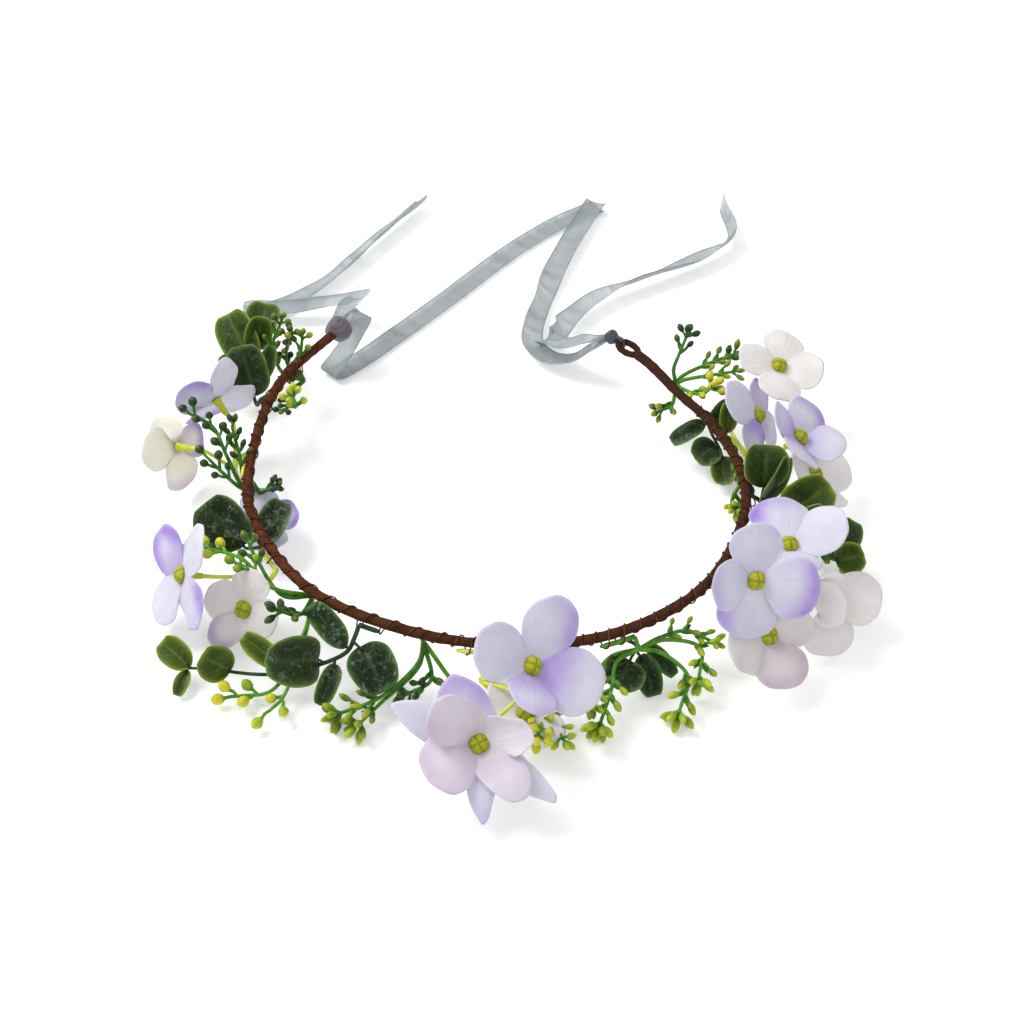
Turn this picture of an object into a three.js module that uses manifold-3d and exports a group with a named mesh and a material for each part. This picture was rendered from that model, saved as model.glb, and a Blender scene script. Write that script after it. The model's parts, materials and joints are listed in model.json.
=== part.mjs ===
// Flower crown: a springy wire hoop in brown paper tape, open at the back, with cloth
// hydrangeas, eucalyptus and bud sprigs bound to it by thin wire and an organza ribbon
// knotted through each end. Millimetres, +Z up, front of the crown towards -Y.
import * as THREE from 'three';
import { mergeVertices } from 'three/addons/utils/BufferGeometryUtils.js';
import Module from 'manifold-3d';

const wasm = await Module();
wasm.setup();

// ---- Driving dimensions -------------------------------------------------------------
// Places are given from the centre of the hoop, at table height; angles are in degrees,
// counter-clockwise from +X (the wearer's left when the front faces the reader).
const HOOP_CENTRE = [-1.55, -28.3];
const HOOP_HEIGHT = 24;
const HOOP_SHAPE = [
  [128, 102], [150, 95.5], [175, 89.5], [195, 90], [225, 88.5], [250, 86.5], [270, 88],
  [295, 93], [320, 96], [345, 94.5], [360, 91.5], [376, 86.5], [390, 83], [406, 86], [420, 90],
];
const LEFT_END = 129;
const HINGE_ANGLE = 278;
const RIGHT_END = 409;
const HINGE_GAP = 1.2;

const CORE_RADIUS = 0.8;
const BORE_RADIUS = 1.15;
const TAPE_RADIUS = 1.85;
const EYE = { tape: 1.35, bore: 0.85, wire: 0.5 };
const LEFT_EYE = { long: 3.1, wide: 2.3 };
const RIGHT_EYE = { long: 4.8, wide: 2.7 };

const WIRE_RADIUS = 0.35;
const WIRE_PITCH = 8;
const WIRE_STEPS = 6;
const WIRE_LIFT = 0.5;
const CLEARANCE = 0.3;

const STEM_SEAT = 3.15;
const STEM_RADIUS = 0.9;
const SEAT_A = -40;
const SEAT_B = -112;

const CLOTH = 0.5;
const SHAFT_RADIUS = 0.55;
const PETAL_HOLE = 0.9;
const PIP_RADIUS = 3;
const NOTCH = 0.4;
const CUP_DEPTH = 7.2;

const LEAF_THICKNESS = 0.4;
const RIBBON_WIDTH = 8;
const RIBBON_THICKNESS = 0.4;

// Cloth florets: pip place, direction it faces (azimuth, elevation), turn of the petals,
// petal length and the forward tilt of each of the four petals.
const FLORETS = {
  right_1: { at: [111, 51, 30], faces: [-55, 65], turn: -43, petal: 17.5, tilt: [17, 5, 8, 13] },
  right_2: { at: [102, 33, 20], faces: [-14, 30], turn: 20, petal: 17, tilt: [-8, 5, 5, 5] },
  right_3: { at: [114, 8, 31], faces: [-10, 50], turn: -90, petal: 18, tilt: [30, 18, 15, 16] },
  right_4: { at: [121, 5, 15], faces: [-15, 45], turn: -135, petal: 17, tilt: [10, 10, 10, 10] },
  right_5: { at: [104, -48, 31], faces: [-65, 82], turn: -17, petal: 21, tilt: [25, 6, 10, 15] },
  right_6: { at: [89, -74, 40], faces: [-72, 35], turn: -16, petal: 21, tilt: [20, 0, 15, 0] },
  right_7: { at: [116, -62, 16], faces: [-75, 50], turn: 15, petal: 19, tilt: [6, 8, 0, 8] },
  right_8: { at: [95, -79, 18], faces: [-65, 50], turn: -8, petal: 19, tilt: [11, 10, 10, 10] },
  front_1: { at: [14, -110, 38], faces: [-50, 45], turn: -52, petal: 22, tilt: [14, 16, 8, 28] },
  front_2: {
    at: [-3, -129, 22], faces: [-95, 55], turn: 35, petal: 20, tilt: [18, 12, 16, 18],
    second: { turn: -8, petal: 23, tilt: [4, 4, 4, 4] },
  },
  front_4: { at: [12, -108, 12], faces: [-60, 70], turn: 20, petal: 15, tilt: [10, 10, 10, 10] },
  left_1: { at: [-107, -56, 24], faces: [198, 22], turn: 87, petal: 21, tilt: [19, 19, 12, 0] },
  left_2: { at: [-86, -63, 14], faces: [-120, 40], turn: 0, petal: 16, tilt: [9, 9, 9, 9] },
  left_3: { at: [-105, 31, 30], faces: [130, 25], turn: 20, petal: 18, tilt: [30, 30, -20, 5] },
  left_4: { at: [-119, 15, 20], faces: [151, -19], turn: -74, petal: 17, tilt: [5, 5, 50, -8] },
  left_5: { at: [-84, -16, 11], faces: [-90, 82], turn: 15, petal: 15, tilt: [8, 8, 8, 8] },
};

// Moulded hydrangea stems: where each is bound to the hoop (from, exit), the fork it
// grows to, and the florets on its arms, with any bend an arm takes on the way.
const STEMS = {
  right_upper: {
    seat: SEAT_A, bound: [17, 11], fork: [97, 18, 12],
    arms: { right_1: [[100, 40, 5], [105, 56, 11]], right_2: [], right_3: [], right_4: [] },
  },
  right_lower: {
    seat: SEAT_A, bound: [-33, -27], fork: [92, -52, 15],
    arms: { right_5: [], right_6: [], right_7: [], right_8: [] },
  },
  front: {
    seat: SEAT_A, bound: [263, 269], fork: [-3, -98, 17],
    arms: { front_1: [], front_2: [], front_4: [] },
  },
  left_lower: {
    seat: SEAT_A, bound: [208, 214], fork: [-78, -46, 18],
    arms: { left_1: [], left_2: [] },
  },
  left_upper: {
    seat: SEAT_A, bound: [176, 182], fork: [-97, 8, 15],
    arms: { left_3: [], left_4: [], left_5: [] },
  },
};

// Eucalyptus: the stem's way from the hoop, and leaves as [foot, tip, width, faces].
const EUCALYPTUS = {
  left_top: {
    seat: SEAT_A, bound: [158, 152], stem: [[-92, 44, 16], [-96, 60, 20], [-95, 78, 22]],
    leaves: [
      [[-96, 64, 21], [-106, 79, 34], 16, [-100, 45]],
      [[-93, 46, 18], [-97, 54, 37], 16, [-80, 35]],
      [[-95, 70, 22], [-91, 72, 37], 11, [-70, 40]],
      [[-95, 57, 19], [-111, 66, 18], 12, [-110, 50]],
      [[-95, 78, 22], [-92, 94, 28], 14, [-90, 50]],
      [[-93, 52, 18], [-86, 60, 32], 7, [-60, 40]],
    ],
  },
  left_mid: {
    seat: SEAT_B, bound: [196, 203], stem: [[-88, -34, 15], [-90, -30, 14]],
    leaves: [
      [[-89, -33, 15], [-102, -26, 30], 19, [-110, 45]],
      [[-83, -31, 14], [-76, -15, 21], 11, [-80, 55]],
    ],
  },
  left_low: {
    seat: SEAT_A, bound: [245, 238], stem: [[-49, -84, 15], [-72, -90, 11], [-98, -85, 8], [-106, -83, 6]],
    leaves: [
      [[-56, -87, 15], [-72, -99, 27], 17, [-80, 45]],
      [[-44, -83, 18], [-35, -98, 12], 16, [-80, 50]],
      [[-49, -83, 17], [-61, -72, 26], 9, [-70, 45]],
      [[-52, -87, 13], [-57, -101, 8], 7, [-80, 45]],
      [[-88, -88, 10], [-97, -88, 18], 13, [-80, 40]],
      [[-103, -84, 8], [-113, -77, 13], 10, [-90, 50]],
      [[-104, -84, 6], [-107, -92, 2], 5, [-90, 60]],
      [[-70, -88, 12], [-84, -80, 19], 8, [-90, 50]],
    ],
  },
  front_right: {
    seat: SEAT_B, bound: [309, 302], stem: [[50, -80, 14], [48, -84, 12]],
    leaves: [
      [[48, -84, 12], [43, -95, 10], 15, [-90, 50]],
      [[52, -82, 12], [56, -93, 3], 9, [-90, 50]],
      [[54, -78, 13], [63, -88, 8], 6, [-90, 50]],
    ],
  },
  right_inner: {
    seat: SEAT_A, bound: [28, 23], stem: [[84, 32, 14], [88, 27, 8]],
    leaves: [
      [[82, 34, 16], [69, 27, 12], 7, [-100, 55]],
      [[84, 32, 15], [94, 44, 18], 8, [-90, 50]],
      [[87, 27, 10], [78, 21, 9], 12, [-100, 60]],
      [[89, 25, 7], [88, 10, 6], 10, [-90, 60]],
      [[90, 26, 17], [90, 31, 28], 7, [-80, 45]],
    ],
  },
  right_outer: {
    seat: SEAT_A, bound: [-5, -11], stem: [[98, -17, 18], [110, -26, 17], [124, -36, 12]],
    leaves: [
      [[99, -14, 26], [100, -4, 38], 17, [-80, 55]],
      [[99, -17, 21], [108, -9, 36], 10, [-30, 30]],
      [[106, -23, 20], [121, -20, 33], 17, [-75, 50]],
      [[110, -27, 19], [118, -32, 32], 10, [-60, 50]],
      [[124, -36, 12], [131, -26, 21], 11, [-70, 45]],
      [[124, -37, 11], [133, -39, 17], 12, [-80, 45]],
    ],
  },
};

// Bud sprigs: each shoot is a way of points; twigs with a bud stand out along it in
// pairs, and a small fan of buds ends it.
const SPRIGS = {
  left_top: {
    seat: SEAT_B, bound: [147, 141],
    shoots: [
      { way: [[-82, 66, 19], [-80, 66, 33]], pairs: 0 },
      { way: [[-80, 52, 16], [-75, 34, 24], [-76, 33, 29]], pairs: 1 },
    ],
  },
  left_mid: {
    seat: SEAT_B, bound: [189, 183],
    shoots: [
      { way: [[-92, -4, 17], [-98, 3, 27], [-105, 17, 33]], pairs: 3 },
      { way: [[-86, -6, 16], [-81, -6, 19]], pairs: 0 },
    ],
  },
  left_low: {
    seat: SEAT_B, bound: [219, 226],
    shoots: [
      { way: [[-76, -60, 22], [-87, -50, 26], [-100, -45, 27]], pairs: 1 },
      { way: [[-64, -67, 18], [-66, -76, 25], [-70, -78, 29]], pairs: 1 },
      { way: [[-64, -74, 14], [-74, -92, 5], [-88, -92, 4]], pairs: 1 },
    ],
  },
  front: {
    seat: SEAT_B, bound: [258, 252],
    shoots: [
      { way: [[-24, -86, 13], [-36, -98, 8], [-50, -104, 4]], pairs: 2 },
      { way: [[-20, -92, 10], [-27, -95, 6]], pairs: 0 },
      { way: [[-8, -94, 5], [8, -96, 3], [20, -112, 3]], pairs: 1 },
    ],
  },
  front_right: {
    seat: SEAT_A, bound: [293, 299],
    shoots: [
      { way: [[40, -92, 14], [40, -100, 9], [37, -107, 4]], pairs: 2 },
      { way: [[58, -86, 15], [66, -92, 11], [60, -104, 4]], pairs: 1 },
      { way: [[60, -79, 15], [72, -82, 8]], pairs: 1 },
    ],
  },
  right_top: {
    seat: SEAT_A, bound: [44, 38],
    shoots: [
      { way: [[71, 57, 23], [72, 62, 28], [75, 67, 32]], pairs: 0 },
      { way: [[74, 54, 22], [86, 60, 26], [95, 59, 27]], pairs: 1 },
      { way: [[74, 49, 20], [81, 41, 24], [83, 38, 27]], pairs: 1 },
      { way: [[70, 45, 15], [66, 42, 14]], pairs: 0 },
    ],
  },
  right_low: {
    seat: SEAT_B, bound: [3, -3],
    shoots: [
      { way: [[88, -8, 12], [86, -14, 13]], pairs: 0 },
      { way: [[98, -12, 8], [112, -22, 5], [127, -31, 5]], pairs: 0 },
    ],
  },
};

// Ribbon tails: points of the middle line, each with the direction of the ribbon's
// width (azimuth, elevation). The left ribbon lies under the right one where they meet.
const LEFT_TAILS = [
  [
    [-64, 84, 24.5, 0, 0], [-60, 95, 24, 0, 0], [-55, 107, 20, 10, 10], [-57, 115, 13, 45, 15],
    [-68, 119, 8, 80, 0], [-90, 118, 5.2, 90, 0], [-104, 118, 4.8, 90, 0], [-106.4, 118.5, 3.2, 92, 0],
    [-104, 119, 1.6, 95, 0], [-90, 126, 0.9, 112, 0], [-74, 139, 1.6, 128, 15], [-54, 168, 3.2, 140, 40],
    [-33, 200, 4.2, 140, 55],
  ],
  [
    [-63, 83, 23.5, -45, 0], [-56, 90, 24.3, -45, 0], [-53, 93, 22.4, -45, 0], [-56, 90, 16, -45, 0],
    [-63, 83, 7, -45, 0], [-67.2, 79, 2.6, -45, 0], [-66, 80, 0.8, -45, 0], [-58, 87, 0.6, -45, 0],
    [-24, 127, 0.6, -42, 0], [8, 167, 0.6, -42, 0], [30, 189, 0.6, -42, 0], [47, 201, 0.6, -42, 0],
  ],
];
const RIGHT_TAILS = [
  [
    [45, 76, 23, -110, 0], [40, 78, 17, -115, 0], [32, 81, 8, -125, 0], [23, 87, 3.6, -135, 0],
    [16, 97, 3.2, -165, 10], [16, 108, 4.2, -175, 20], [19, 122, 3.6, -190, 10], [26, 148, 2.4, -195, 0],
    [36, 177, 2.2, -200, 0], [46, 201, 2.4, -205, 0],
  ],
  [
    [45, 76, 24, 70, 0], [38, 79, 20, 68, 0], [29, 85, 12.4, 58, 0], [23, 92, 9.6, 50, 0],
    [21.4, 95, 8.2, 50, 0], [23.6, 99, 6.6, 55, 0], [32, 113, 4.2, 75, 0], [46, 128, 3.6, 110, 25],
    [63, 138, 4.6, 118, 40], [90, 155, 4.6, 122, 40], [106, 171, 4.6, 160, 35], [104, 199, 4.4, 190, 30],
  ],
];

// ---- Materials ------------------------------------------------------------------------
function surface(color, roughness, metalness = 0) {
  return new THREE.MeshStandardMaterial({ color, roughness, metalness, side: THREE.DoubleSide });
}
const looks = {
  steel: surface('#8b8d90', 0.35, 0.9),
  tape: surface('#6b3a24', 0.85),
  wire: surface('#3a2018', 0.75),
  lilac: surface('#d9d2ee', 0.8),
  cream: surface('#efeae6', 0.8),
  pip: surface('#b9bd2c', 0.5),
  stem: surface('#a9bb3a', 0.45),
  leaf: surface('#2f4a33', 0.55),
  sprig: surface('#2f7a1e', 0.4),
  ribbon: surface('#b4c0c8', 0.6),
};

// ---- Solids ---------------------------------------------------------------------------
function toSolid(geometry) {
  geometry.deleteAttribute('normal');
  geometry.deleteAttribute('uv');
  const merged = mergeVertices(geometry, 1e-4);
  const make = (triVerts) => new wasm.Manifold(new wasm.Mesh({
    numProp: 3,
    vertProperties: Float32Array.from(merged.attributes.position.array),
    triVerts,
  }));
  const corners = Uint32Array.from(merged.index.array);
  const solid = make(corners);
  if (solid.volume() > 0) return solid;
  for (let i = 0; i < corners.length; i += 3) {
    [corners[i], corners[i + 1]] = [corners[i + 1], corners[i]];
  }
  return make(corners);
}

function join(solids) {
  return solids.reduce((whole, piece) => whole.add(piece));
}

// Moves every corner of a geometry through a rule: place(x, y, z) gives the new point.
function reshape(geometry, place) {
  const corners = geometry.attributes.position;
  for (let i = 0; i < corners.count; i += 1) {
    const p = place(corners.getX(i), corners.getY(i), corners.getZ(i));
    corners.setXYZ(i, p.x, p.y, p.z);
  }
  return geometry;
}

const vector = (p) => new THREE.Vector3(p[0], p[1], p[2]);
const radians = THREE.MathUtils.degToRad;

function direction(azimuth, elevation) {
  const [a, e] = [radians(azimuth), radians(elevation)];
  return new THREE.Vector3(Math.cos(e) * Math.cos(a), Math.cos(e) * Math.sin(a), Math.sin(e));
}

function roundShape(radius, sides) {
  const corners = [];
  for (let i = 0; i < sides; i += 1) {
    const a = (2 * Math.PI * i) / sides;
    corners.push(new THREE.Vector2(radius * Math.cos(a), radius * Math.sin(a)));
  }
  return new THREE.Shape(corners);
}

// A curve given by a rule, stepped evenly in the rule's own measure.
class RuleCurve extends THREE.Curve {
  constructor(rule) {
    super();
    this.rule = rule;
  }

  getPoint(t) {
    return this.rule(t);
  }

  getPointAt(t) {
    return this.rule(t);
  }

  getTangentAt(t) {
    return this.getTangent(t);
  }

  getSpacedPoints(steps) {
    return this.getPoints(steps);
  }
}

function sweep(curve, radius, sides, steps) {
  const shape = roundShape(radius, sides);
  return toSolid(new THREE.ExtrudeGeometry(shape, { extrudePath: curve, steps }));
}

function tube(points, radius, sides = 5, stepsEach = 3) {
  if (points.length === 2) {
    return sweep(new THREE.LineCurve3(points[0], points[1]), radius, sides, 1);
  }
  const curve = new THREE.CatmullRomCurve3(points, false, 'centripetal');
  return sweep(curve, radius, sides, stepsEach * (points.length - 1));
}

function ball(centre, radii, across = 10, down = 8) {
  const round = new THREE.SphereGeometry(1, across, down);
  round.scale(radii[0], radii[1], radii[2]);
  round.translate(centre.x, centre.y, centre.z);
  return toSolid(round);
}

// ---- Hoop -----------------------------------------------------------------------------
const hoopLine = new THREE.CatmullRomCurve3(HOOP_SHAPE.map(([angle, radius]) => (
  new THREE.Vector3(radius * Math.cos(radians(angle)), radius * Math.sin(radians(angle)), HOOP_HEIGHT)
)));

function hoopPoint(angle) {
  const last = HOOP_SHAPE.length - 1;
  let i = 0;
  while (i < last - 1 && HOOP_SHAPE[i + 1][0] <= angle) i += 1;
  const within = (angle - HOOP_SHAPE[i][0]) / (HOOP_SHAPE[i + 1][0] - HOOP_SHAPE[i][0]);
  return hoopLine.getPoint((i + within) / last);
}

function hoopFrame(angle) {
  const along = hoopPoint(angle + 0.2).sub(hoopPoint(angle - 0.2)).normalize();
  const up = new THREE.Vector3(0, 0, 1);
  return { at: hoopPoint(angle), along, out: along.clone().cross(up), up };
}

// A point beside the hoop: seat 0 is straight outwards, -90 straight below.
function besideHoop(angle, seat, reach) {
  const { at, out, up } = hoopFrame(angle);
  const s = radians(seat);
  return at.addScaledVector(out, reach * Math.cos(s)).addScaledVector(up, reach * Math.sin(s));
}

const MM_PER_DEGREE = 1.58;
const GAP_ANGLE = HINGE_GAP / 2 / MM_PER_DEGREE;

function hoopSweep(from, to, radius, sides, trim = [0, 0]) {
  const start = from + trim[0] / MM_PER_DEGREE;
  const end = to - trim[1] / MM_PER_DEGREE;
  const steps = Math.max(2, Math.round(Math.abs(to - from) / 7.5));
  const rule = (t) => hoopPoint(start + (end - start) * t);
  return sweep(new RuleCurve(rule), radius, sides, steps);
}

// A closed ring of tube on an oval middle line, lying in the plane of two directions.
function ovalRing(centre, longWay, wideWay, long, wide, tubeRadius, around = 12, sides = 6) {
  const normal = longWay.clone().cross(wideWay);
  const ring = new THREE.TorusGeometry(10, tubeRadius, sides, around);
  return toSolid(reshape(ring, (x, y, z) => {
    const a = Math.atan2(y, x);
    const off = Math.hypot(x, y) - 10;
    const facing = new THREE.Vector2(wide * Math.cos(a), long * Math.sin(a)).normalize();
    return centre.clone()
      .addScaledVector(longWay, long * Math.cos(a) + off * facing.x)
      .addScaledVector(wideWay, wide * Math.sin(a) + off * facing.y)
      .addScaledVector(normal, z);
  }));
}

// The wire is turned back into a small eye at each open end of the hoop.
const eyes = {
  left: { size: LEFT_EYE, end: LEFT_END, sense: -1 },
  right: { size: RIGHT_EYE, end: RIGHT_END, sense: 1 },
};

function eyeFrame(side) {
  const { size, end, sense } = eyes[side];
  const { at, along, out } = hoopFrame(end);
  const outward = along.multiplyScalar(sense);
  const centre = at.addScaledVector(outward, size.long);
  return { centre, outward, out, tip: centre.clone().addScaledVector(outward, size.long) };
}

function eyeRing(side, tubeRadius) {
  const { centre, outward, out } = eyeFrame(side);
  const { size } = eyes[side];
  return ovalRing(centre, outward, out, size.long, size.wide, tubeRadius);
}

function hoopHalf(side, radius, eyeRadius, sides, hingeTrim, endTrim) {
  const swept = side === 'left'
    ? hoopSweep(LEFT_END, HINGE_ANGLE - GAP_ANGLE, radius, sides, [endTrim, hingeTrim])
    : hoopSweep(HINGE_ANGLE + GAP_ANGLE, RIGHT_END, radius, sides, [hingeTrim, endTrim]);
  return swept.add(eyeRing(side, eyeRadius));
}

function coreWire(side) {
  return hoopHalf(side, CORE_RADIUS, EYE.wire, 4, 0.2, 0.3);
}

function tape(side) {
  const outside = hoopHalf(side, TAPE_RADIUS, EYE.tape, 7, 0, 0);
  return outside.subtract(hoopHalf(side, BORE_RADIUS, EYE.bore, 6, -1, 0));
}

// ---- Binding wire ---------------------------------------------------------------------
// It runs round the tape and over every stem that lies on the hoop, so each turn follows
// the outline of the round things that it holds.
const allStems = [...Object.values(STEMS), ...Object.values(EUCALYPTUS), ...Object.values(SPRIGS)];

function normalAngle(angle) {
  return angle < 100 ? angle + 360 : angle;
}

function boundRange(stem) {
  const [a, b] = stem.bound.map(normalAngle);
  return [Math.min(a, b), Math.max(a, b)];
}

function heldAt(angle) {
  const held = [{ x: 0, y: 0, radius: TAPE_RADIUS }];
  allStems.forEach((stem) => {
    const [low, high] = boundRange(stem);
    if (angle < low - 1.6 || angle > high + 1.6) return;
    const s = radians(stem.seat);
    held.push({ x: STEM_SEAT * Math.cos(s), y: STEM_SEAT * Math.sin(s), radius: STEM_RADIUS });
  });
  return held;
}

const TURN_DEGREES = WIRE_PITCH / MM_PER_DEGREE;
const WIRE_START = { left: LEFT_END + 12, right: HINGE_ANGLE + 1.2 };
const WIRE_END = { left: HINGE_ANGLE - 1.2, right: RIGHT_END - 26 };

function wirePoint(angle) {
  const turn = (2 * Math.PI * angle) / TURN_DEGREES;
  const [c, s] = [Math.cos(turn), Math.sin(turn)];
  const reach = (item) => item.x * c + item.y * s + item.radius;
  const outer = heldAt(angle).reduce((best, item) => (reach(item) > reach(best) ? item : best));
  const lift = (outer.radius + WIRE_LIFT + WIRE_RADIUS) / Math.cos(Math.PI / WIRE_STEPS);
  const { at, out, up } = hoopFrame(angle);
  return at.addScaledVector(out, outer.x + lift * c).addScaledVector(up, outer.y + lift * s);
}

function bindingWire(side) {
  const [from, to] = [WIRE_START[side], WIRE_END[side]];
  const steps = Math.round(((to - from) / TURN_DEGREES) * WIRE_STEPS);
  return sweep(new RuleCurve((t) => wirePoint(from + (to - from) * t)), WIRE_RADIUS, 3, steps);
}

// The nearest place where the binding wire is on the far side of the hoop from a seat.
function betweenTurns(angle, seat) {
  const free = ((seat + 180) / 360) * TURN_DEGREES;
  return free + Math.round((angle - free) / TURN_DEGREES) * TURN_DEGREES;
}

// A stem's bound length on the hoop, and the point where its shoots leave it.
function seatStem(stem) {
  const [start, wanted] = stem.bound.map(normalAngle);
  const exit = betweenTurns(wanted, stem.seat);
  const rule = (t) => besideHoop(start + (exit - start) * t, stem.seat, STEM_SEAT);
  return {
    solid: sweep(new RuleCurve(rule), STEM_RADIUS, 6, 3),
    exit: besideHoop(exit, stem.seat, STEM_SEAT),
    clear: besideHoop(exit, stem.seat, STEM_SEAT + 4.5),
  };
}

// ---- Florets --------------------------------------------------------------------------
function floretFrame(floret) {
  const [azimuth, elevation] = floret.faces;
  const front = direction(azimuth, elevation);
  const level = new THREE.Vector3(-Math.sin(radians(azimuth)), Math.cos(radians(azimuth)), 0);
  const upper = front.clone().cross(level);
  const t = radians(floret.turn);
  const x = level.clone().multiplyScalar(Math.cos(t)).addScaledVector(upper, Math.sin(t));
  const y = front.clone().cross(x);
  return { at: vector(floret.at), front, x, y };
}

// One cloth piece: four round petals round a hole, each tilted forward by its own angle.
// It is flat under the pip. Rings 1, 2 and 3 are the hole, the pip's rim and the outline.
function blossom(floret) {
  const { at, front, x, y } = floretFrame(floret);
  const half = CLOTH / 2;
  const outline = [[1, -half], [2, -half], [3, -half], [3, half], [2, half], [1, half], [1, -half]];
  const disc = new THREE.LatheGeometry(outline.map(([r, h]) => new THREE.Vector2(r, h)), 16);
  const rim = PIP_RADIUS + 0.4;
  return toSolid(reshape(disc, (dx, dy, dz) => {
    const a = Math.atan2(dx, dz);
    const quarter = Math.round(a / (Math.PI / 2));
    const full = Math.max(0, Math.cos(2 * (a - quarter * (Math.PI / 2))));
    const length = floret.petal * (NOTCH + (1 - NOTCH) * full ** 0.15);
    const r = [PETAL_HOLE, rim, length][Math.round(Math.hypot(dx, dz)) - 1];
    const tilt = radians(floret.tilt[(quarter + 4) % 4]) * Math.min(1, 2 * full);
    const flat = Math.min(r, rim);
    const reach = flat + (r - flat) * Math.cos(tilt);
    return at.clone()
      .addScaledVector(x, reach * Math.cos(a))
      .addScaledVector(y, reach * Math.sin(a))
      .addScaledVector(front, (r - flat) * Math.sin(tilt) + dy);
  }));
}

function turned(frame, outline, sides) {
  const lathe = new THREE.LatheGeometry(outline.map(([r, h]) => new THREE.Vector2(r, h)), sides);
  return toSolid(reshape(lathe, (dx, dy, dz) => frame.at.clone()
    .addScaledVector(frame.x, dx)
    .addScaledVector(frame.y, dz)
    .addScaledVector(frame.front, dy)));
}

const UNDER_PIP = CLOTH / 2 + CLEARANCE;
const LAYER_STEP = CLOTH + CLEARANCE;

// How far behind the blossom the socket's lip stands: a second blossom takes more room.
function socketLip(floret) {
  return floret.second ? -(UNDER_PIP + LAYER_STEP) : -UNDER_PIP;
}

function pip(floret) {
  const end = socketLip(floret) - 4.4;
  const outline = [
    [0, end], [SHAFT_RADIUS, end], [SHAFT_RADIUS, UNDER_PIP], [PIP_RADIUS * 0.75, UNDER_PIP],
    [PIP_RADIUS, UNDER_PIP + 1], [PIP_RADIUS * 0.8, UNDER_PIP + 2.1], [0, UNDER_PIP + 2.6],
  ];
  return turned(floretFrame(floret), outline, 6);
}

function socket(floret) {
  const lip = socketLip(floret);
  const bore = SHAFT_RADIUS + 0.4;
  const outline = [
    [0, -CUP_DEPTH], [1.3, -CUP_DEPTH], [1.7, lip], [bore, lip], [bore, lip - 4.8], [0, lip - 4.8],
  ];
  return turned(floretFrame(floret), outline, 5);
}

function stemWithArms(stem) {
  const seated = seatStem(stem);
  const fork = vector(stem.fork);
  const pieces = [seated.solid, tube([seated.exit, seated.clear, fork], STEM_RADIUS, 6)];
  Object.entries(stem.arms).forEach(([name, bends]) => {
    const floret = FLORETS[name];
    const { at, front } = floretFrame(floret);
    const back = (distance) => at.clone().addScaledVector(front, -distance);
    const lead = front.z > 0.75 ? 1.5 : 5;
    const way = [fork, ...bends.map(vector), back(CUP_DEPTH + lead), back(CUP_DEPTH - 0.5)];
    pieces.push(tube(way, 0.75, 4, 2));
    pieces.push(socket(floret));
  });
  return join(pieces);
}

// ---- Leaves and buds ------------------------------------------------------------------
function leaf([foot, tip, width, faces]) {
  const [root, end] = [vector(foot), vector(tip)];
  const along = end.clone().sub(root);
  const length = along.length();
  along.normalize();
  const across = along.clone().cross(direction(faces[0], faces[1])).normalize();
  const front = across.clone().cross(along);
  const half = LEAF_THICKNESS / 2;
  const outline = [[0, -half], [1, -half], [1, half], [0, half]];
  const disc = new THREE.LatheGeometry(outline.map(([r, h]) => new THREE.Vector2(r, h)), 10);
  return toSolid(reshape(disc, (dx, dy, dz) => {
    const lengthwise = (length / 2) * (1 + dz);
    const narrowing = 0.86 + 0.14 * Math.cos(Math.PI * (dz - 0.15));
    const crosswise = (width / 2) * dx * narrowing;
    const fold = 0.1 * Math.abs(crosswise);
    return root.clone()
      .addScaledVector(along, lengthwise)
      .addScaledVector(across, crosswise)
      .addScaledVector(front, dy + fold);
  }));
}

function eucalyptusSpray(spray) {
  const seated = seatStem(spray);
  const way = spray.stem.map(vector);
  const pieces = [seated.solid, tube([seated.exit, seated.clear, ...way], 0.8, 5, 2)];
  spray.leaves.forEach((entry) => {
    const foot = vector(entry[0]);
    const inside = foot.clone().lerp(vector(entry[1]), 0.12);
    const line = new THREE.CatmullRomCurve3([seated.clear, ...way]);
    const near = line.getPoints(24).reduce((best, p) => (
      p.distanceTo(foot) < best.distanceTo(foot) ? p : best
    ));
    pieces.push(tube([near, inside], 0.5, 3));
    pieces.push(leaf(entry));
  });
  return join(pieces);
}

const BUD_RADIUS = 1.2;
const BUD_LENGTH = 2.6;
const TIP_BUDS = 4;
const TABLE_CLEARANCE = 0.1;

// A twig with its bud, as one turned piece along the heading.
function budTwig(from, heading, length) {
  const end = from.clone().addScaledVector(heading, length);
  end.z = Math.max(end.z, BUD_RADIUS + TABLE_CLEARANCE);
  const front = end.clone().sub(from);
  const reach = front.length();
  front.normalize();
  const aside = Math.abs(front.z) > 0.8 ? new THREE.Vector3(1, 0, 0) : new THREE.Vector3(0, 0, 1);
  const x = front.clone().cross(aside).normalize();
  const outline = [[0, -0.8], [0.4, reach / 2], [BUD_RADIUS, reach], [0, reach + BUD_LENGTH / 2]];
  return turned({ at: from, front, x, y: front.clone().cross(x) }, outline, 3);
}

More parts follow.
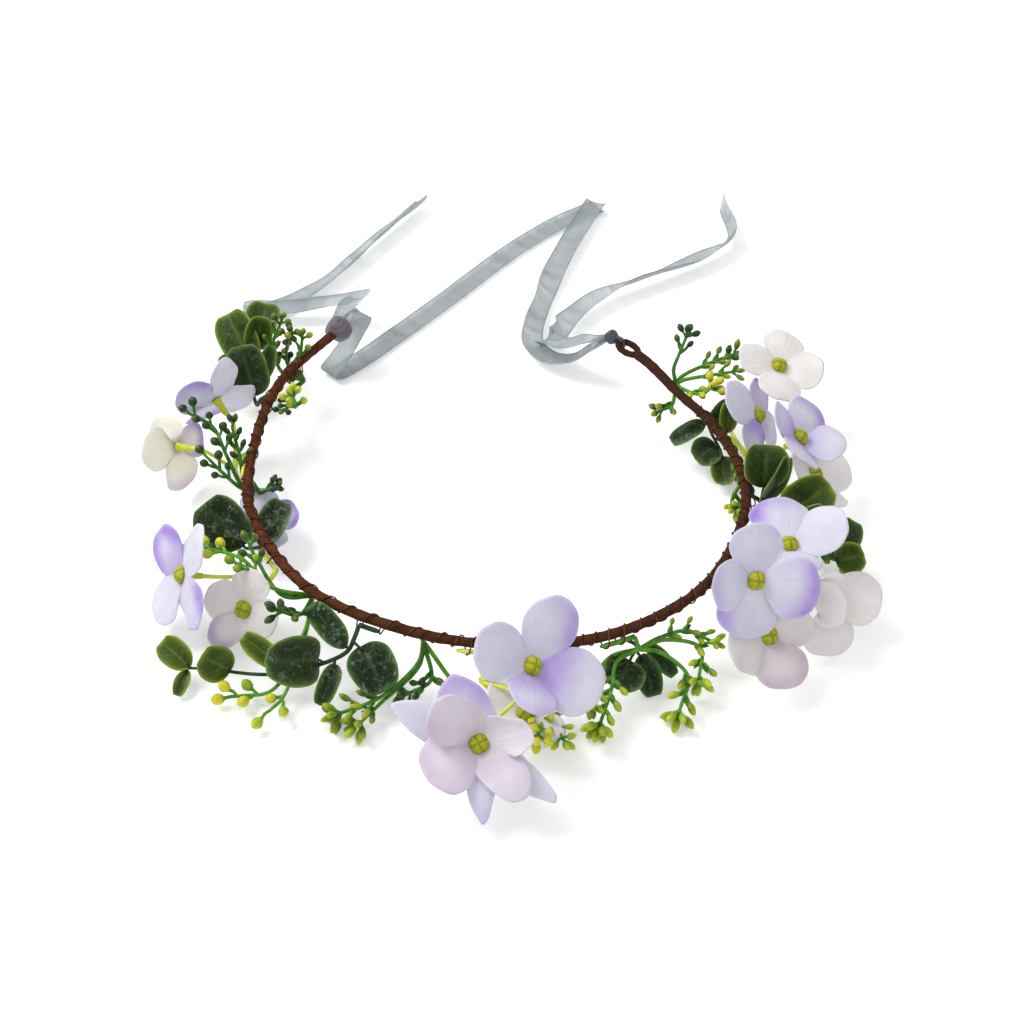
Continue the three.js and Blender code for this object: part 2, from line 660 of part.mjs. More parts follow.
function shootPieces(start, shoot) {
  const points = [start, ...shoot.way.map(vector)];
  const curve = new THREE.CatmullRomCurve3(points, false, 'centripetal');
  const steps = 2 * (points.length - 1);
  const pieces = [sweep(curve, 0.6, 4, steps)];
  const up = new THREE.Vector3(0, 0, 1);
  for (let i = 1; i <= shoot.pairs; i += 1) {
    const along = curve.getTangentAt(1 - i / steps);
    const side = along.clone().cross(up).normalize();
    [-1, 1].forEach((hand) => {
      const heading = side.clone().multiplyScalar(hand).addScaledVector(along, 0.8);
      heading.addScaledVector(up, 0.35).normalize();
      pieces.push(budTwig(curve.getPointAt(1 - i / steps), heading, 5));
    });
  }
  const along = curve.getTangentAt(1);
  const aside = Math.abs(along.z) > 0.9 ? new THREE.Vector3(0, 1, 0) : up;
  const side = along.clone().cross(aside).normalize();
  const lift = side.clone().cross(along);
  for (let i = 0; i < TIP_BUDS; i += 1) {
    const a = (2 * Math.PI * i) / TIP_BUDS;
    const heading = along.clone().multiplyScalar(0.75)
      .addScaledVector(side, Math.cos(a))
      .addScaledVector(lift, Math.sin(a))
      .normalize();
    pieces.push(budTwig(curve.getPoint(1), heading, 4.4));
  }
  return pieces;
}

function budSprig(sprig) {
  const seated = seatStem(sprig);
  const pieces = [seated.solid, tube([seated.exit, seated.clear], 0.8, 5)];
  sprig.shoots.forEach((shoot) => {
    pieces.push(...shootPieces(seated.clear, shoot));
  });
  return join(pieces);
}

// ---- Ribbons --------------------------------------------------------------------------
function ribbonTail(rows, steps) {
  const line = new THREE.CatmullRomCurve3(rows.map(vector), false, 'centripetal');
  const widths = new THREE.CatmullRomCurve3(rows.map((row) => direction(row[3], row[4])));
  const strip = new THREE.BoxGeometry(1, RIBBON_WIDTH, RIBBON_THICKNESS, steps, 1, 1);
  return toSolid(reshape(strip, (x, y, z) => {
    const t = x + 0.5;
    const along = line.getTangent(t);
    const face = along.clone().cross(widths.getPoint(t)).normalize();
    const across = face.clone().cross(along);
    const gathered = Math.min(1, 0.25 + 9 * t);
    return line.getPoint(t).addScaledVector(across, y * gathered).addScaledVector(face, z);
  }));
}

function leftRibbon() {
  const { centre } = eyeFrame('left');
  const eyeRoom = eyeRing('left', EYE.tape + CLEARANCE);
  const tapeRoom = hoopSweep(LEFT_END, LEFT_END + 9, TAPE_RADIUS + CLEARANCE, 8);
  const knot = ball(centre, [6, 5.8, 4.4], 10, 6).subtract(eyeRoom.add(tapeRoom));
  const tails = join(LEFT_TAILS.map((rows) => ribbonTail(rows, 22)));
  return knot.add(tails.subtract(eyeRoom.add(tapeRoom)));
}

function rightRibbon() {
  const { outward, tip } = eyeFrame('right');
  const up = new THREE.Vector3(0, 0, 1);
  const reach = EYE.tape + CLEARANCE + 0.6;
  const loop = ovalRing(tip, outward, up, reach, reach, 0.5, 12, 5);
  const knot = ball(tip.clone().addScaledVector(outward, 4.6), [2.6, 2.6, 2.4], 10, 6);
  return join([loop, knot, ...RIGHT_TAILS.map((rows) => ribbonTail(rows, 18))]);
}

// ---- Assembly -------------------------------------------------------------------------
const group = new THREE.Group();
group.name = 'flower_crown';

function addPart(name, solid, material) {
  const { numProp, vertProperties, triVerts } = solid.getMesh();
  const corners = new Float32Array((vertProperties.length / numProp) * 3);
  for (let i = 0; i < corners.length / 3; i += 1) {
    corners[3 * i] = vertProperties[numProp * i] + HOOP_CENTRE[0];
    corners[3 * i + 1] = vertProperties[numProp * i + 1] + HOOP_CENTRE[1];
    corners[3 * i + 2] = vertProperties[numProp * i + 2];
  }
  const geometry = new THREE.BufferGeometry();
  geometry.setAttribute('position', new THREE.BufferAttribute(corners, 3));
  geometry.setIndex(new THREE.BufferAttribute(Uint32Array.from(triVerts), 1));
  geometry.computeVertexNormals();
  const mesh = new THREE.Mesh(geometry, material);
  mesh.name = name;
  group.add(mesh);
}

['left', 'right'].forEach((side) => {
  addPart(`core_wire_${side}`, coreWire(side), looks.steel);
  addPart(`paper_tape_${side}`, tape(side), looks.tape);
  addPart(`binding_wire_${side}`, bindingWire(side), looks.wire);
});

const CREAM_FLORETS = ['right_1', 'right_4', 'right_7', 'right_8', 'front_4', 'left_4'];
Object.entries(FLORETS).forEach(([name, floret]) => {
  const cloth = CREAM_FLORETS.includes(name) ? looks.cream : looks.lilac;
  addPart(`petals_${name}`, blossom(floret), cloth);
  if (floret.second) {
    const { at, front } = floretFrame(floret);
    const behind = at.addScaledVector(front, -LAYER_STEP).toArray();
    addPart(`petals_${name}_back`, blossom({ ...floret, ...floret.second, at: behind }), cloth);
  }
  addPart(`pip_${name}`, pip(floret), looks.pip);
});

Object.entries(STEMS).forEach(([name, stem]) => {
  addPart(`hydrangea_stem_${name}`, stemWithArms(stem), looks.stem);
});
Object.entries(EUCALYPTUS).forEach(([name, spray]) => {
  addPart(`eucalyptus_${name}`, eucalyptusSpray(spray), looks.leaf);
});
Object.entries(SPRIGS).forEach(([name, sprig]) => {
  addPart(`bud_sprig_${name}`, budSprig(sprig), looks.sprig);
});

addPart('ribbon_left', leftRibbon(), looks.ribbon);
addPart('ribbon_right', rightRibbon(), looks.ribbon);

export default group;
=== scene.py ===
"""A flower crown: cloth hydrangeas, eucalyptus and bud sprigs on a taped wire hoop, with organza ribbons."""

import json
import math

import bmesh
import bpy
import numpy as np

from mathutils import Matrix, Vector


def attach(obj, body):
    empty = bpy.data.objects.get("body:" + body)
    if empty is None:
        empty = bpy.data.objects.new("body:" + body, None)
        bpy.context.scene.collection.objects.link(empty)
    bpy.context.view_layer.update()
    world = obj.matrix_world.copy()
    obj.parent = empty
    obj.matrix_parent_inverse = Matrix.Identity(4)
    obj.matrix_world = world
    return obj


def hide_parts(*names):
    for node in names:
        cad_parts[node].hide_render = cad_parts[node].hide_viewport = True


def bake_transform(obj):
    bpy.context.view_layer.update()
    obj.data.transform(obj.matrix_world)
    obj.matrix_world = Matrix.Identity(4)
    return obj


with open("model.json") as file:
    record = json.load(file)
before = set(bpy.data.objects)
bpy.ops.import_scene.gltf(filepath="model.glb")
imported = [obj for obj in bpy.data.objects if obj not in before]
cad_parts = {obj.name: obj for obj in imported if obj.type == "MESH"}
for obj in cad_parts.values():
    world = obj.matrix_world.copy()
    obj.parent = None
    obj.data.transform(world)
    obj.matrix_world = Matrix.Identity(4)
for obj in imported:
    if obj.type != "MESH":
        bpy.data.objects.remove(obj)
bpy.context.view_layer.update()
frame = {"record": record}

# ---- Where things are: millimetres from the hoop's centre, with heights above the table ----
HEAD_RING = next(m for m in frame["record"]["mounts"] if m["name"] == "head_ring")
CENTRE = np.array([HEAD_RING["pos_m"][0], HEAD_RING["pos_m"][1], 0.0])
HOOP_HEIGHT = HEAD_RING["pos_m"][2] * 1000
MILLIMETRE = 0.001
UP = np.array([0.0, 0.0, 1.0])

# The hoop's middle line as (angle, distance from the centre).
HOOP_SHAPE = [
    (128, 102), (150, 95.5), (175, 89.5), (195, 90), (225, 88.5), (250, 86.5), (270, 88),
    (295, 93), (320, 96), (345, 94.5), (360, 91.5), (376, 86.5), (390, 83), (406, 86), (420, 90),
]
LEFT_END, HINGE_ANGLE, RIGHT_END = 129, 278, 409
CORE_RADIUS, TAPE_RADIUS, EYE_TAPE = 0.8, 1.85, 1.3
LEFT_EYE, RIGHT_EYE = (3.1, 2.3), (4.8, 2.7)
WIRE_RADIUS = 0.27
MM_PER_DEGREE, WIRE_PITCH = 1.58, 8
# A stem lies beside the tape, at one of two angles round it.
STEM_SEAT, STEM_RADIUS = 3.15, 0.9
SEAT_A, SEAT_B = -40, -112
CUP_DEPTH, SOCKET_DEPTH = 7.2, 4.8
CLOTH, BLOSSOM_HOLE = 0.4, 0.85
PIP_RIM, PIP_RADIUS, PIP_HEIGHT = 3.4, 3.35, 2.5
SHAFT_RADIUS, SHAFT_DEPTH = 0.52, 4.2
UNDER_PIP = 0.55
LAYER_STEP = 0.8
LEAF_THICKNESS, LEAFLET_THICKNESS = 0.42, 0.3
ORGANZA_THICKNESS, LOWEST_RIBBON = 0.16, 0.25
RIBBON_WIDTH = 10.0
CURL_DEGREES = {"left_a": 46.0, "left_b": 20.0, "right_a": 34.0, "right_b": 40.0}

# Where a petal's numbers stand that blend into its neighbours'.
SWING, TILT, CURL = 0, 2, 4
UNDYED = (0, 0, 0, 0)

# Florets: pip place, way it faces (azimuth, elevation), turn, cloth, and four petals as
# (swing, length, tilt, half width, curl, colour), where colour is the strength of the
# lilac dye at the tip, the clockwise side, the other side and the base.
FLORETS = {
    "right_1": ([111, 51, 30], (-55, 65), -43, "cream", [
        (1, 17.8, 17, 8.8, -22, UNDYED), (-4, 16.2, 3, 8.4, -14, UNDYED),
        (3, 17.2, 5, 7.2, -16, UNDYED), (4, 18.2, 14, 8.8, -26, UNDYED)]),
    "right_2": ([102, 33, 20], (-14, 30), 20, "lilac", [
        (-3, 15.5, 9, 8, -10, (0.8, 0.4, 0.4, 0.4)), (-1, 20, -14, 9.5, -12, (0.05, 0, 0, 0.1)),
        (-2, 16.5, -12, 8.4, -14, (0.25, 0.1, 0.5, 0.8)), (0, 17, 0, 8, -10, (0.3, 0, 0, 0.4))]),
    "right_3": ([114, 8, 31], (-10, 50), -90, "lilac", [
        (5, 18.4, 40, 9.3, -22, (0.08, 0, 0.1, 0.35)), (-4, 17.6, 21, 9.6, -14, (0.75, 0.75, 0, 0.1)),
        (0, 17.5, 15, 8.2, -10, (0.4, 0.1, 0.3, 0.6)), (-2, 17.6, 17, 8.8, -22, (0.1, 0.1, 0, 0.65))]),
    "right_4": ([121, 5, 15], (-15, 45), -135, "cream", [
        (3, 17.2, 26, 8.6, -20, UNDYED), (4, 18.6, 20, 8.8, -18, UNDYED),
        (0, 16.6, 8, 8, -10, UNDYED), (0, 17, 10, 8.4, -14, UNDYED)]),
    "right_5": ([104, -48, 31], (-65, 82), -17, "lilac", [
        (5, 22.6, 33, 9.8, -34, UNDYED), (3, 20.8, 2, 11, -20, (0.5, 0, 1.0, 0)),
        (0, 20, 9, 9, -10, (0.2, 0, 0.1, 0)), (-3, 19.6, 27, 9, -20, (0.7, 0.2, 0.1, 0))]),
    "right_6": ([89, -74, 40], (-72, 35), -16, "lilac", [
        (-6, 22, 21, 10.8, -26, (1.0, 0.35, 0.2, 0.05)), (4, 19.4, -2, 9.8, -12, (0.15, 0.12, 0.1, 0.12)),
        (9, 20.4, 27, 8.8, -16, (0.35, 0.1, 0.2, 0.05)), (-7, 20.2, -3, 11, -18, (0.2, 0.75, 0, 0))]),
    "right_7": ([116, -62, 16], (-75, 50), 15, "cream", [
        (-18, 21, 7, 9.6, -14, UNDYED), (-9, 17, 62, 7.4, -30, UNDYED),
        (0, 18.6, 128, 8.4, 108, (0.05, 0, 0, 0.1)), (-16, 18.8, -8, 9.6, -16, (0.05, 0, 0, 0.1))]),
    "right_8": ([95, -79, 18], (-65, 50), -8, "mauve", [
        (12, 17.2, 3, 8, -10, UNDYED), (0, 16.6, 0, 8, -10, UNDYED),
        (18, 19.4, 20, 9, -22, (0.1, 0, 0, 0)), (6, 19.8, 17, 10, -26, (0.7, 0.5, 0.5, 0.4))]),
    "front_1": ([14, -110, 38], (-50, 45), -52, "lilac", [
        (1, 25, 17, 11.4, -26, (0.02, 0, 0.02, 0.75)), (-1, 24.6, 16, 9.6, -14, (0.35, 0.7, 0, 0.1)),
        (3, 22.4, 5, 9.8, -16, (0.06, 0, 0, 0.1)), (8, 19.5, 36, 8.6, -18, (0.4, 0.1, 0.2, 0.6))]),
    "front_2": ([-3, -129, 22], (-95, 55), 35, "rose", [
        (-22, 19.4, 24, 6.4, 30, UNDYED), (20, 23.4, 40, 8.8, -40, (0.25, 0.1, 0.35, 0.1)),
        (2, 21, 16, 10.2, -46, (0.5, 0.2, 0.3, 0.5)), (11, 24, 13, 7.2, -34, (0.3, 0.1, 0.5, 0.15))]),
    "front_4": ([12, -108, 12], (-60, 70), 20, "cream", [
        (0, 15, 10, 7.4, -14, UNDYED), (0, 15.4, 10, 7.6, -14, UNDYED),
        (0, 15, 12, 7.4, -14, (0.1, 0, 0, 0)), (0, 15, 8, 7.4, -14, (0.1, 0, 0, 0))]),
    "left_1": ([-107, -56, 24], (198, 22), 87, "lilac", [
        (0, 22.4, -4, 8.6, -14, UNDYED), (-2, 20.4, 24, 10.4, -14, (1.0, 1.0, 0.9, 0.5)),
        (1, 21.6, 15, 10.2, -26, (0.1, 0.1, 0, 0.1)), (-3, 23.2, -6, 8.4, -14, (0.35, 0, 0.95, 0.1))]),
    "left_2": ([-86, -63, 14], (-120, 40), 0, "cream", [
        (0, 15, 9, 7.4, -12, UNDYED), (0, 15.2, 9, 7.6, -12, UNDYED),
        (0, 15.4, 9, 7.4, -12, UNDYED), (-22, 17.4, 12, 6.4, -12, (1.0, 0.5, 0.5, 0))]),
    "left_3": ([-105, 31, 30], (130, 25), 20, "lilac", [
        (4, 16.4, 30, 9.6, -20, (0.55, 0, 1.0, 0.25)), (6, 18, 30, 7, -10, UNDYED),
        (0, 17, -18, 8.6, -14, (0.05, 0, 0, 0)), (3, 17, 5, 8.6, -12, (1.0, 0.8, 0.6, 0.2))]),
    "left_4": ([-119, 15, 20], (151, -19), -74, "ivory", [
        (0, 17.4, 5, 9, -20, (0.4, 0, 0.1, 0.05)), (14, 17, 4, 8.4, -16, UNDYED),
        (0, 14.6, 48, 7.4, -10, UNDYED), (0, 13.8, -8, 7.0, -12, (0.9, 0.7, 0.7, 0.3))]),
    "left_5": ([-84, -16, 11], (-90, 82), 15, "lilac", [
        (8, 13.4, 8, 7.4, -10, (1.0, 0.7, 0.7, 0.2)), (0, 15, 8, 7.4, -10, (0.6, 0.2, 0.2, 0)),
        (0, 15, 8, 7.4, -10, (0.2, 0, 0, 0)), (0, 15, 8, 7.4, -10, (0.3, 0, 0, 0))]),
}
SECOND_LAYER = ("front_2", -8, "lilac", [
    (-24, 31, 1, 5.4, -10, (0.02, 0, 0, 0)), (36, 24, 6, 9.4, -10, (0.7, 0.7, 0.3, 0.1)),
    (-12, 31, 7, 7, -12, (0.02, 0, 0, 0)), (15, 25.5, 2, 5.3, -10, (0.3, 0.2, 0.2, 0.1))])

# Hydrangea stems: seat, the hoop angles it is bound between, fork, and each floret's arm
# with the points it bends through.
STEMS = {
    "right_upper": (SEAT_A, (17, 11), [97, 18, 12], {
        "right_1": [[100, 40, 5], [105, 56, 11]], "right_2": [], "right_3": [], "right_4": []}),
    "right_lower": (SEAT_A, (-33, -27), [94, -50, 15], {
        "right_5": [], "right_6": [], "right_7": [], "right_8": []}),
    "front": (SEAT_A, (263, 269), [-3, -98, 17], {
        "front_1": [], "front_2": [[9.1, -107.5, 20], [2.5, -114.8, 17]], "front_4": []}),
    "left_lower": (SEAT_A, (208, 214), [-83, -50, 17], {"left_1": [], "left_2": []}),
    "left_upper": (SEAT_A, (182, 176), [-97, 8, 15], {"left_3": [], "left_4": [], "left_5": []}),
}

# Eucalyptus: seat, the hoop angles it is bound between, stem, then leaves as
# (foot, tip, width, faces, warmth, frost).
EUCALYPTUS = {
    "left_top": (SEAT_A, (158, 152), [[-92, 44, 16], [-96, 60, 20], [-95, 78, 22]], [
        ([-96, 64, 21], [-106, 79, 34], 16, (-100, 45), 0.8, 0.3),
        ([-93, 46, 18], [-97, 54, 37], 16, (-80, 35), 0.25, 0.35),
        ([-95, 70, 22], [-91, 72, 37], 11, (-70, 40), 0.75, 0.2),
        ([-95, 57, 19], [-111, 66, 18], 12, (-110, 50), 0.6, 0.2),
        ([-95, 78, 22], [-92, 94, 28], 14, (-90, 50), 0.65, 0.2),
        ([-93, 52, 18], [-86, 60, 32], 7, (-60, 40), 0.3, 0.6)]),
    "left_mid": (SEAT_B, (196, 203), [[-88, -34, 15], [-90, -30, 14]], [
        ([-89, -33, 15], [-102, -26, 30], 19, (-110, 45), 0.2, 0.75),
        ([-83, -31, 14], [-76, -15, 21], 11, (-80, 55), 0.15, 0.9)]),
    "left_low": (SEAT_A, (245, 238), [[-49, -84, 15], [-72, -90, 11], [-98, -85, 8], [-106, -83, 6]], [
        ([-56, -87, 15], [-72, -99, 27], 17, (-80, 45), 0.35, 0.4),
        ([-44, -83, 18], [-35, -98, 12], 16, (-80, 50), 0.1, 0.75),
        ([-49, -83, 17], [-61, -72, 26], 9, (-70, 45), 0.15, 1.0),
        ([-52, -87, 13], [-57, -101, 8], 7, (-80, 45), 0.2, 0.8),
        ([-88, -88, 10], [-97, -88, 18], 13, (-80, 40), 0.9, 0.25),
        ([-103, -84, 8], [-113, -77, 13], 10, (-90, 50), 1.0, 0.25),
        ([-104, -84, 6], [-107, -92, 2], 5, (-90, 60), 0.6, 0.2),
        ([-70, -88, 12], [-84, -80, 19], 8, (-90, 50), 1.0, 0.2)]),
    "front_right": (SEAT_B, (309, 302), [[50, -80, 14], [48, -84, 12]], [
        ([48, -84, 12], [43, -95, 10], 15, (-90, 50), 0.3, 0.8),
        ([52, -82, 12], [56, -93, 3], 9, (-90, 50), 0.15, 0.3),
        ([54, -78, 13], [63, -88, 8], 6, (-90, 50), 0.15, 0.2)]),
    "right_inner": (SEAT_A, (28, 23), [[84, 32, 14], [88, 27, 8]], [
        ([82, 34, 16], [69, 27, 12], 7, (-100, 55), 0.1, 0.5),
        ([84, 32, 15], [94, 44, 18], 8, (-90, 50), 0.2, 0.3),
        ([87, 27, 10], [78, 21, 9], 12, (-100, 60), 0.25, 0.4),
        ([89, 25, 7], [88, 10, 6], 10, (-90, 60), 0.5, 0.2),
        ([90, 26, 17], [90, 31, 28], 7, (-80, 45), 1.0, 0.0)]),
    "right_outer": (SEAT_A, (-5, -11), [[98, -17, 18], [110, -26, 17], [124, -36, 12]], [
        ([99, -14, 26], [100, -4, 38], 17, (-80, 55), 0.45, 0.1),
        ([99, -17, 21], [108, -9, 36], 10, (-30, 30), 0.35, 0.2),
        ([106, -23, 20], [121, -20, 33], 17, (-75, 50), 0.85, 0.1),
        ([110, -27, 19], [118, -32, 32], 10, (-60, 50), 0.5, 0.1),
        ([124, -36, 12], [131, -26, 21], 11, (-70, 45), 0.3, 0.3),
        ([124, -37, 11], [133, -39, 17], 12, (-80, 45), 0.7, 0.1)]),
}

# Bud sprigs: seat, the hoop angles it is bound between, and shoots as (way, pairs of side
# twigs, buds at the tip, ripeness, bud radius, bud length over its width).
SPRIGS = {
    "left_top": (SEAT_B, (147, 141), [
        ([[-82, 66, 19], [-80, 66, 33]], 3, 5, 0.2, 1.4, 1.1),
        ([[-84, 62, 18], [-87, 68, 27], [-84, 72, 34]], 3, 4, 0.3, 1.3, 1.2),
        ([[-81, 61, 18], [-76, 62, 26], [-75, 66, 31]], 2, 4, 0.4, 1.3, 1.2),
        ([[-80, 52, 16], [-75, 34, 24], [-76, 33, 29]], 2, 5, 0.8, 1.35, 1.3),
        ([[-80, 50, 16], [-79, 38, 20], [-80, 34, 22]], 2, 3, 0.1, 1.2, 1.2)]),
    "left_mid": (SEAT_B, (189, 183), [
        ([[-92, -4, 17], [-98, 3, 26], [-104, 14, 31], [-111, 18, 33]], 3, 2, 0.05, 1.75, 1.15),
        ([[-91, -3, 17], [-94, 6, 25], [-97, 15, 30]], 3, 2, 0.08, 1.2, 1.7),
        ([[-92, -5, 17], [-100, -1, 22], [-105, 3, 25]], 2, 1, 0.05, 1.7, 1.15),
        ([[-86, -6, 16], [-81, -6, 19]], 2, 5, 0.1, 1.2, 1.3)]),
    "left_low": (SEAT_B, (219, 226), [
        ([[-76, -60, 22], [-87, -50, 26], [-99, -46, 27]], 1, 3, 1.0, 2.1, 1.25),
        ([[-74, -61, 22], [-82, -55, 25], [-87, -52, 25]], 1, 2, 0.6, 1.7, 1.25),
        ([[-72, -62, 20], [-82, -50, 27], [-84, -47, 29]], 1, 2, 0.15, 1.4, 1.7),
        ([[-64, -67, 18], [-66, -76, 25], [-70, -78, 29]], 2, 4, 0.1, 1.4, 1.7),
        ([[-64, -74, 14], [-74, -92, 5], [-86, -94, 4]], 1, 2, 1.0, 2.1, 1.2),
        ([[-64, -76, 13], [-70, -96, 6], [-74, -101, 5]], 1, 1, 0.9, 2.1, 1.2)]),
    "front": (SEAT_B, (258, 252), [
        ([[-24, -86, 13], [-36, -98, 9], [-50, -103, 6]], 2, 7, 0.5, 1.3, 2.2),
        ([[-24, -87, 12], [-37, -99, 6], [-43, -106, 5]], 1, 7, 0.55, 1.3, 2.2),
        ([[-20, -92, 10], [-27, -95, 7]], 2, 4, 0.2, 1.3, 1.7),
        ([[-8, -94, 6], [8, -96, 6], [17, -110, 10], [16, -119, 14]], 2, 5, 1.0, 1.5, 1.3),
        ([[-8, -94, 6], [8, -96, 6], [21, -108, 8], [24, -116, 9]], 2, 4, 0.7, 1.2, 1.8)]),
    "front_right": (SEAT_A, (293, 299), [
        ([[43, -88, 15], [41, -97, 12], [37, -108, 7]], 3, 7, 0.7, 1.4, 1.9),
        ([[41, -85, 14], [35, -95, 13], [34, -102, 11]], 2, 5, 0.5, 1.3, 1.9),
        ([[58, -84, 15], [67, -91, 11], [64, -101, 5]], 2, 7, 0.65, 1.35, 2.0),
        ([[60, -79, 16], [72, -80, 13], [71, -90, 9]], 2, 6, 0.7, 1.3, 2.0),
        ([[58, -78, 16], [68, -73, 14], [76, -77, 13]], 3, 3, 0.6, 1.1, 1.9)]),
    "right_top": (SEAT_A, (44, 38), [
        ([[71, 57, 23], [73, 61, 27], [76, 67, 31]], 1, 5, 0.1, 1.3, 1.5),
        ([[74, 54, 22], [84, 58, 25], [95, 62, 27]], 3, 4, 0.35, 1.2, 1.8),
        ([[75, 52, 22], [84, 51, 25], [93, 52, 26]], 2, 3, 0.5, 1.1, 2.0),
        ([[74, 49, 20], [81, 41, 24], [84, 42, 26]], 2, 6, 1.0, 1.5, 1.3),
        ([[70, 45, 15], [66, 42, 15]], 1, 4, 0.45, 1.2, 1.6)]),
    "right_low": (SEAT_B, (3, -3), [
        ([[89, -8, 13], [90, -13, 15]], 2, 6, 0.75, 1.2, 1.9),
        ([[98, -12, 8], [112, -22, 5], [127, -31, 5]], 2, 4, 0.5, 1.3, 1.7)]),
}

# Ribbon tails: points of the middle line, each with the direction of the width there
# (azimuth, elevation).
LEFT_TAILS = [
    [(-64, 84, 24.5, 0, 0), (-60, 95, 24, 0, 0), (-55, 107, 20, 10, 10), (-57, 115, 13, 45, 15),
     (-68, 119, 8, 80, 0), (-90, 118, 5.2, 90, 0), (-104, 118, 4.8, 90, 0), (-106.4, 118.5, 3.2, 92, 0),
     (-104, 119, 1.6, 95, 0), (-90, 126, 0.9, 112, 0), (-74, 139, 2.6, 134, -20), (-54, 168, 4.2, 146, -38),
     (-33, 200, 4.6, 146, -42)],
    [(-63, 83, 23.5, -45, 0), (-56, 90, 24.3, -45, 0), (-53, 93, 22.4, -45, 0), (-56, 90, 16, -45, 0),
     (-63, 83, 7, -45, 0), (-67.2, 79, 2.6, -45, 0), (-66, 80, 0.8, -45, 0), (-58, 87, 0.5, -45, 0),
     (-24, 127, 0.5, -42, 0), (8, 167, 0.5, -42, 0), (30, 189, 0.5, -42, 0), (47, 201, 0.5, -42, 0)],
]
RIGHT_TAILS = [
    [(45, 76, 23, -110, 0), (40, 78, 17, -115, 0), (32, 81, 8, -125, 0), (23, 87, 3.6, -135, 0),
     (16, 97, 3.2, -165, 10), (16, 108, 4.4, -175, 35), (19, 122, 4.4, -190, 48), (26, 148, 3.4, -195, 8),
     (36, 176.5, 3.1, -200, 0), (46, 200.5, 3.2, -205, 0)],
    [(45, 76, 24, 70, 0), (38, 79, 20, 68, 0), (29, 85, 12.4, 58, 0), (23, 92, 9.6, 50, 0),
     (21.4, 95, 8.2, 50, 0), (23.6, 99, 6.6, 55, 0), (32, 113, 4.8, 80, 0), (46, 128, 5.0, 112, -15),
     (63, 138, 6.0, 122, -42), (90, 155, 5.0, 122, -22), (106, 170, 6.2, 150, -62),
     (103, 197, 6.6, 172, -87)],
]


# ---- Lines and directions ----
def unit(v):
    v = np.asarray(v, float)
    return v / np.linalg.norm(v, axis=-1, keepdims=True)


def direction(azimuth, elevation):
    a, e = np.radians(azimuth), np.radians(elevation)
    return np.stack([np.cos(e) * np.cos(a), np.cos(e) * np.sin(a), np.sin(e)], -1)


def smoothstep(low, high, x):
    t = np.clip((np.asarray(x, float) - low) / (high - low), 0, 1)
    return t * t * (3 - 2 * t)


def in_metres(points):
    return points * MILLIMETRE + CENTRE


def round_angles(count):
    return np.linspace(0, 2 * np.pi, count, endpoint=False)


def run_up(slope_part):
    """Running total of a curve sampled at even steps over a length of 1, by trapezia."""
    steps = (slope_part[1:] + slope_part[:-1]) / 2
    return np.concatenate([[0], np.cumsum(steps)]) / len(steps)


def catmull(p, i, w):
    """Centripetal Catmull-Rom: the point a share w of the way from p[i] to p[i + 1]."""
    ends = np.vstack([2 * p[0] - p[1], p, 2 * p[-1] - p[-2]])
    a, b, c, d = (ends[i + k] for k in range(4))
    ta, tb, tc = (
        np.maximum(np.linalg.norm(v - u, axis=-1, keepdims=True), 1e-6) ** 0.5
        for u, v in ((a, b), (b, c), (c, d))
    )
    m1 = ((b - a) / ta - (c - a) / (ta + tb) + (c - b) / tb) * tb
    m2 = ((c - b) / tb - (d - b) / (tb + tc) + (d - c) / tc) * tb
    w = np.asarray(w, float)[..., None]
    return b + m1 * w + (3 * (c - b) - 2 * m1 - m2) * w**2 + (2 * (b - c) + m1 + m2) * w**3


def fine_line(points):
    p = np.asarray(points, float)
    if len(p) == 2:
        p = np.array([p[0], (p[0] + p[1]) / 2, p[1]])
    t = np.linspace(0, len(p) - 1, 30 * (len(p) - 1) + 1)
    i = np.minimum(t.astype(int), len(p) - 2)
    return catmull(p, i, t - i)


def travelled(points):
    return np.concatenate([[0], np.cumsum(np.linalg.norm(np.diff(points[:, :3], axis=0), axis=1))])


def spaced(fine, count):
    gone = travelled(fine)
    at = np.linspace(0, gone[-1], count)
    return np.stack([np.interp(at, gone, column) for column in fine.T], 1)


def smooth_line(points, step=0.8):
    fine = fine_line(points)
    return spaced(fine, max(4, int(travelled(fine)[-1] / step) + 1))


def tangents(points):
    return unit(np.gradient(points, axis=0))


def carried(points):
    """A normal carried along a line without twist."""
    t = tangents(points)
    n = np.cross(t[0], [0, 0, 1] if abs(t[0][2]) < 0.9 else [1, 0, 0])
    out = []
    for along in t:
        n = unit(n - np.dot(n, along) * along)
        out.append(n)
    return t, np.array(out)


HOOP_ANGLES = np.array([a for a, _ in HOOP_SHAPE], float)
HOOP_POINTS = np.array([
    [r * math.cos(math.radians(a)), r * math.sin(math.radians(a)), HOOP_HEIGHT] for a, r in HOOP_SHAPE
])


def hoop_point(angle):
    angle = np.asarray(angle, float)
    i = np.clip(np.searchsorted(HOOP_ANGLES, angle, side="right") - 1, 0, len(HOOP_ANGLES) - 2)
    w = (angle - HOOP_ANGLES[i]) / (HOOP_ANGLES[i + 1] - HOOP_ANGLES[i])
    return catmull(HOOP_POINTS, i, w)


def hoop_frame(angle):
    along = unit(hoop_point(np.asarray(angle) + 0.2) - hoop_point(np.asarray(angle) - 0.2))
    return hoop_point(angle), along, np.cross(along, [0.0, 0.0, 1.0])


def beside_hoop(angle, seat, reach):
    at, _, out = hoop_frame(angle)
    s = math.radians(seat)
    return at + out * reach * math.cos(s) + UP * reach * math.sin(s)


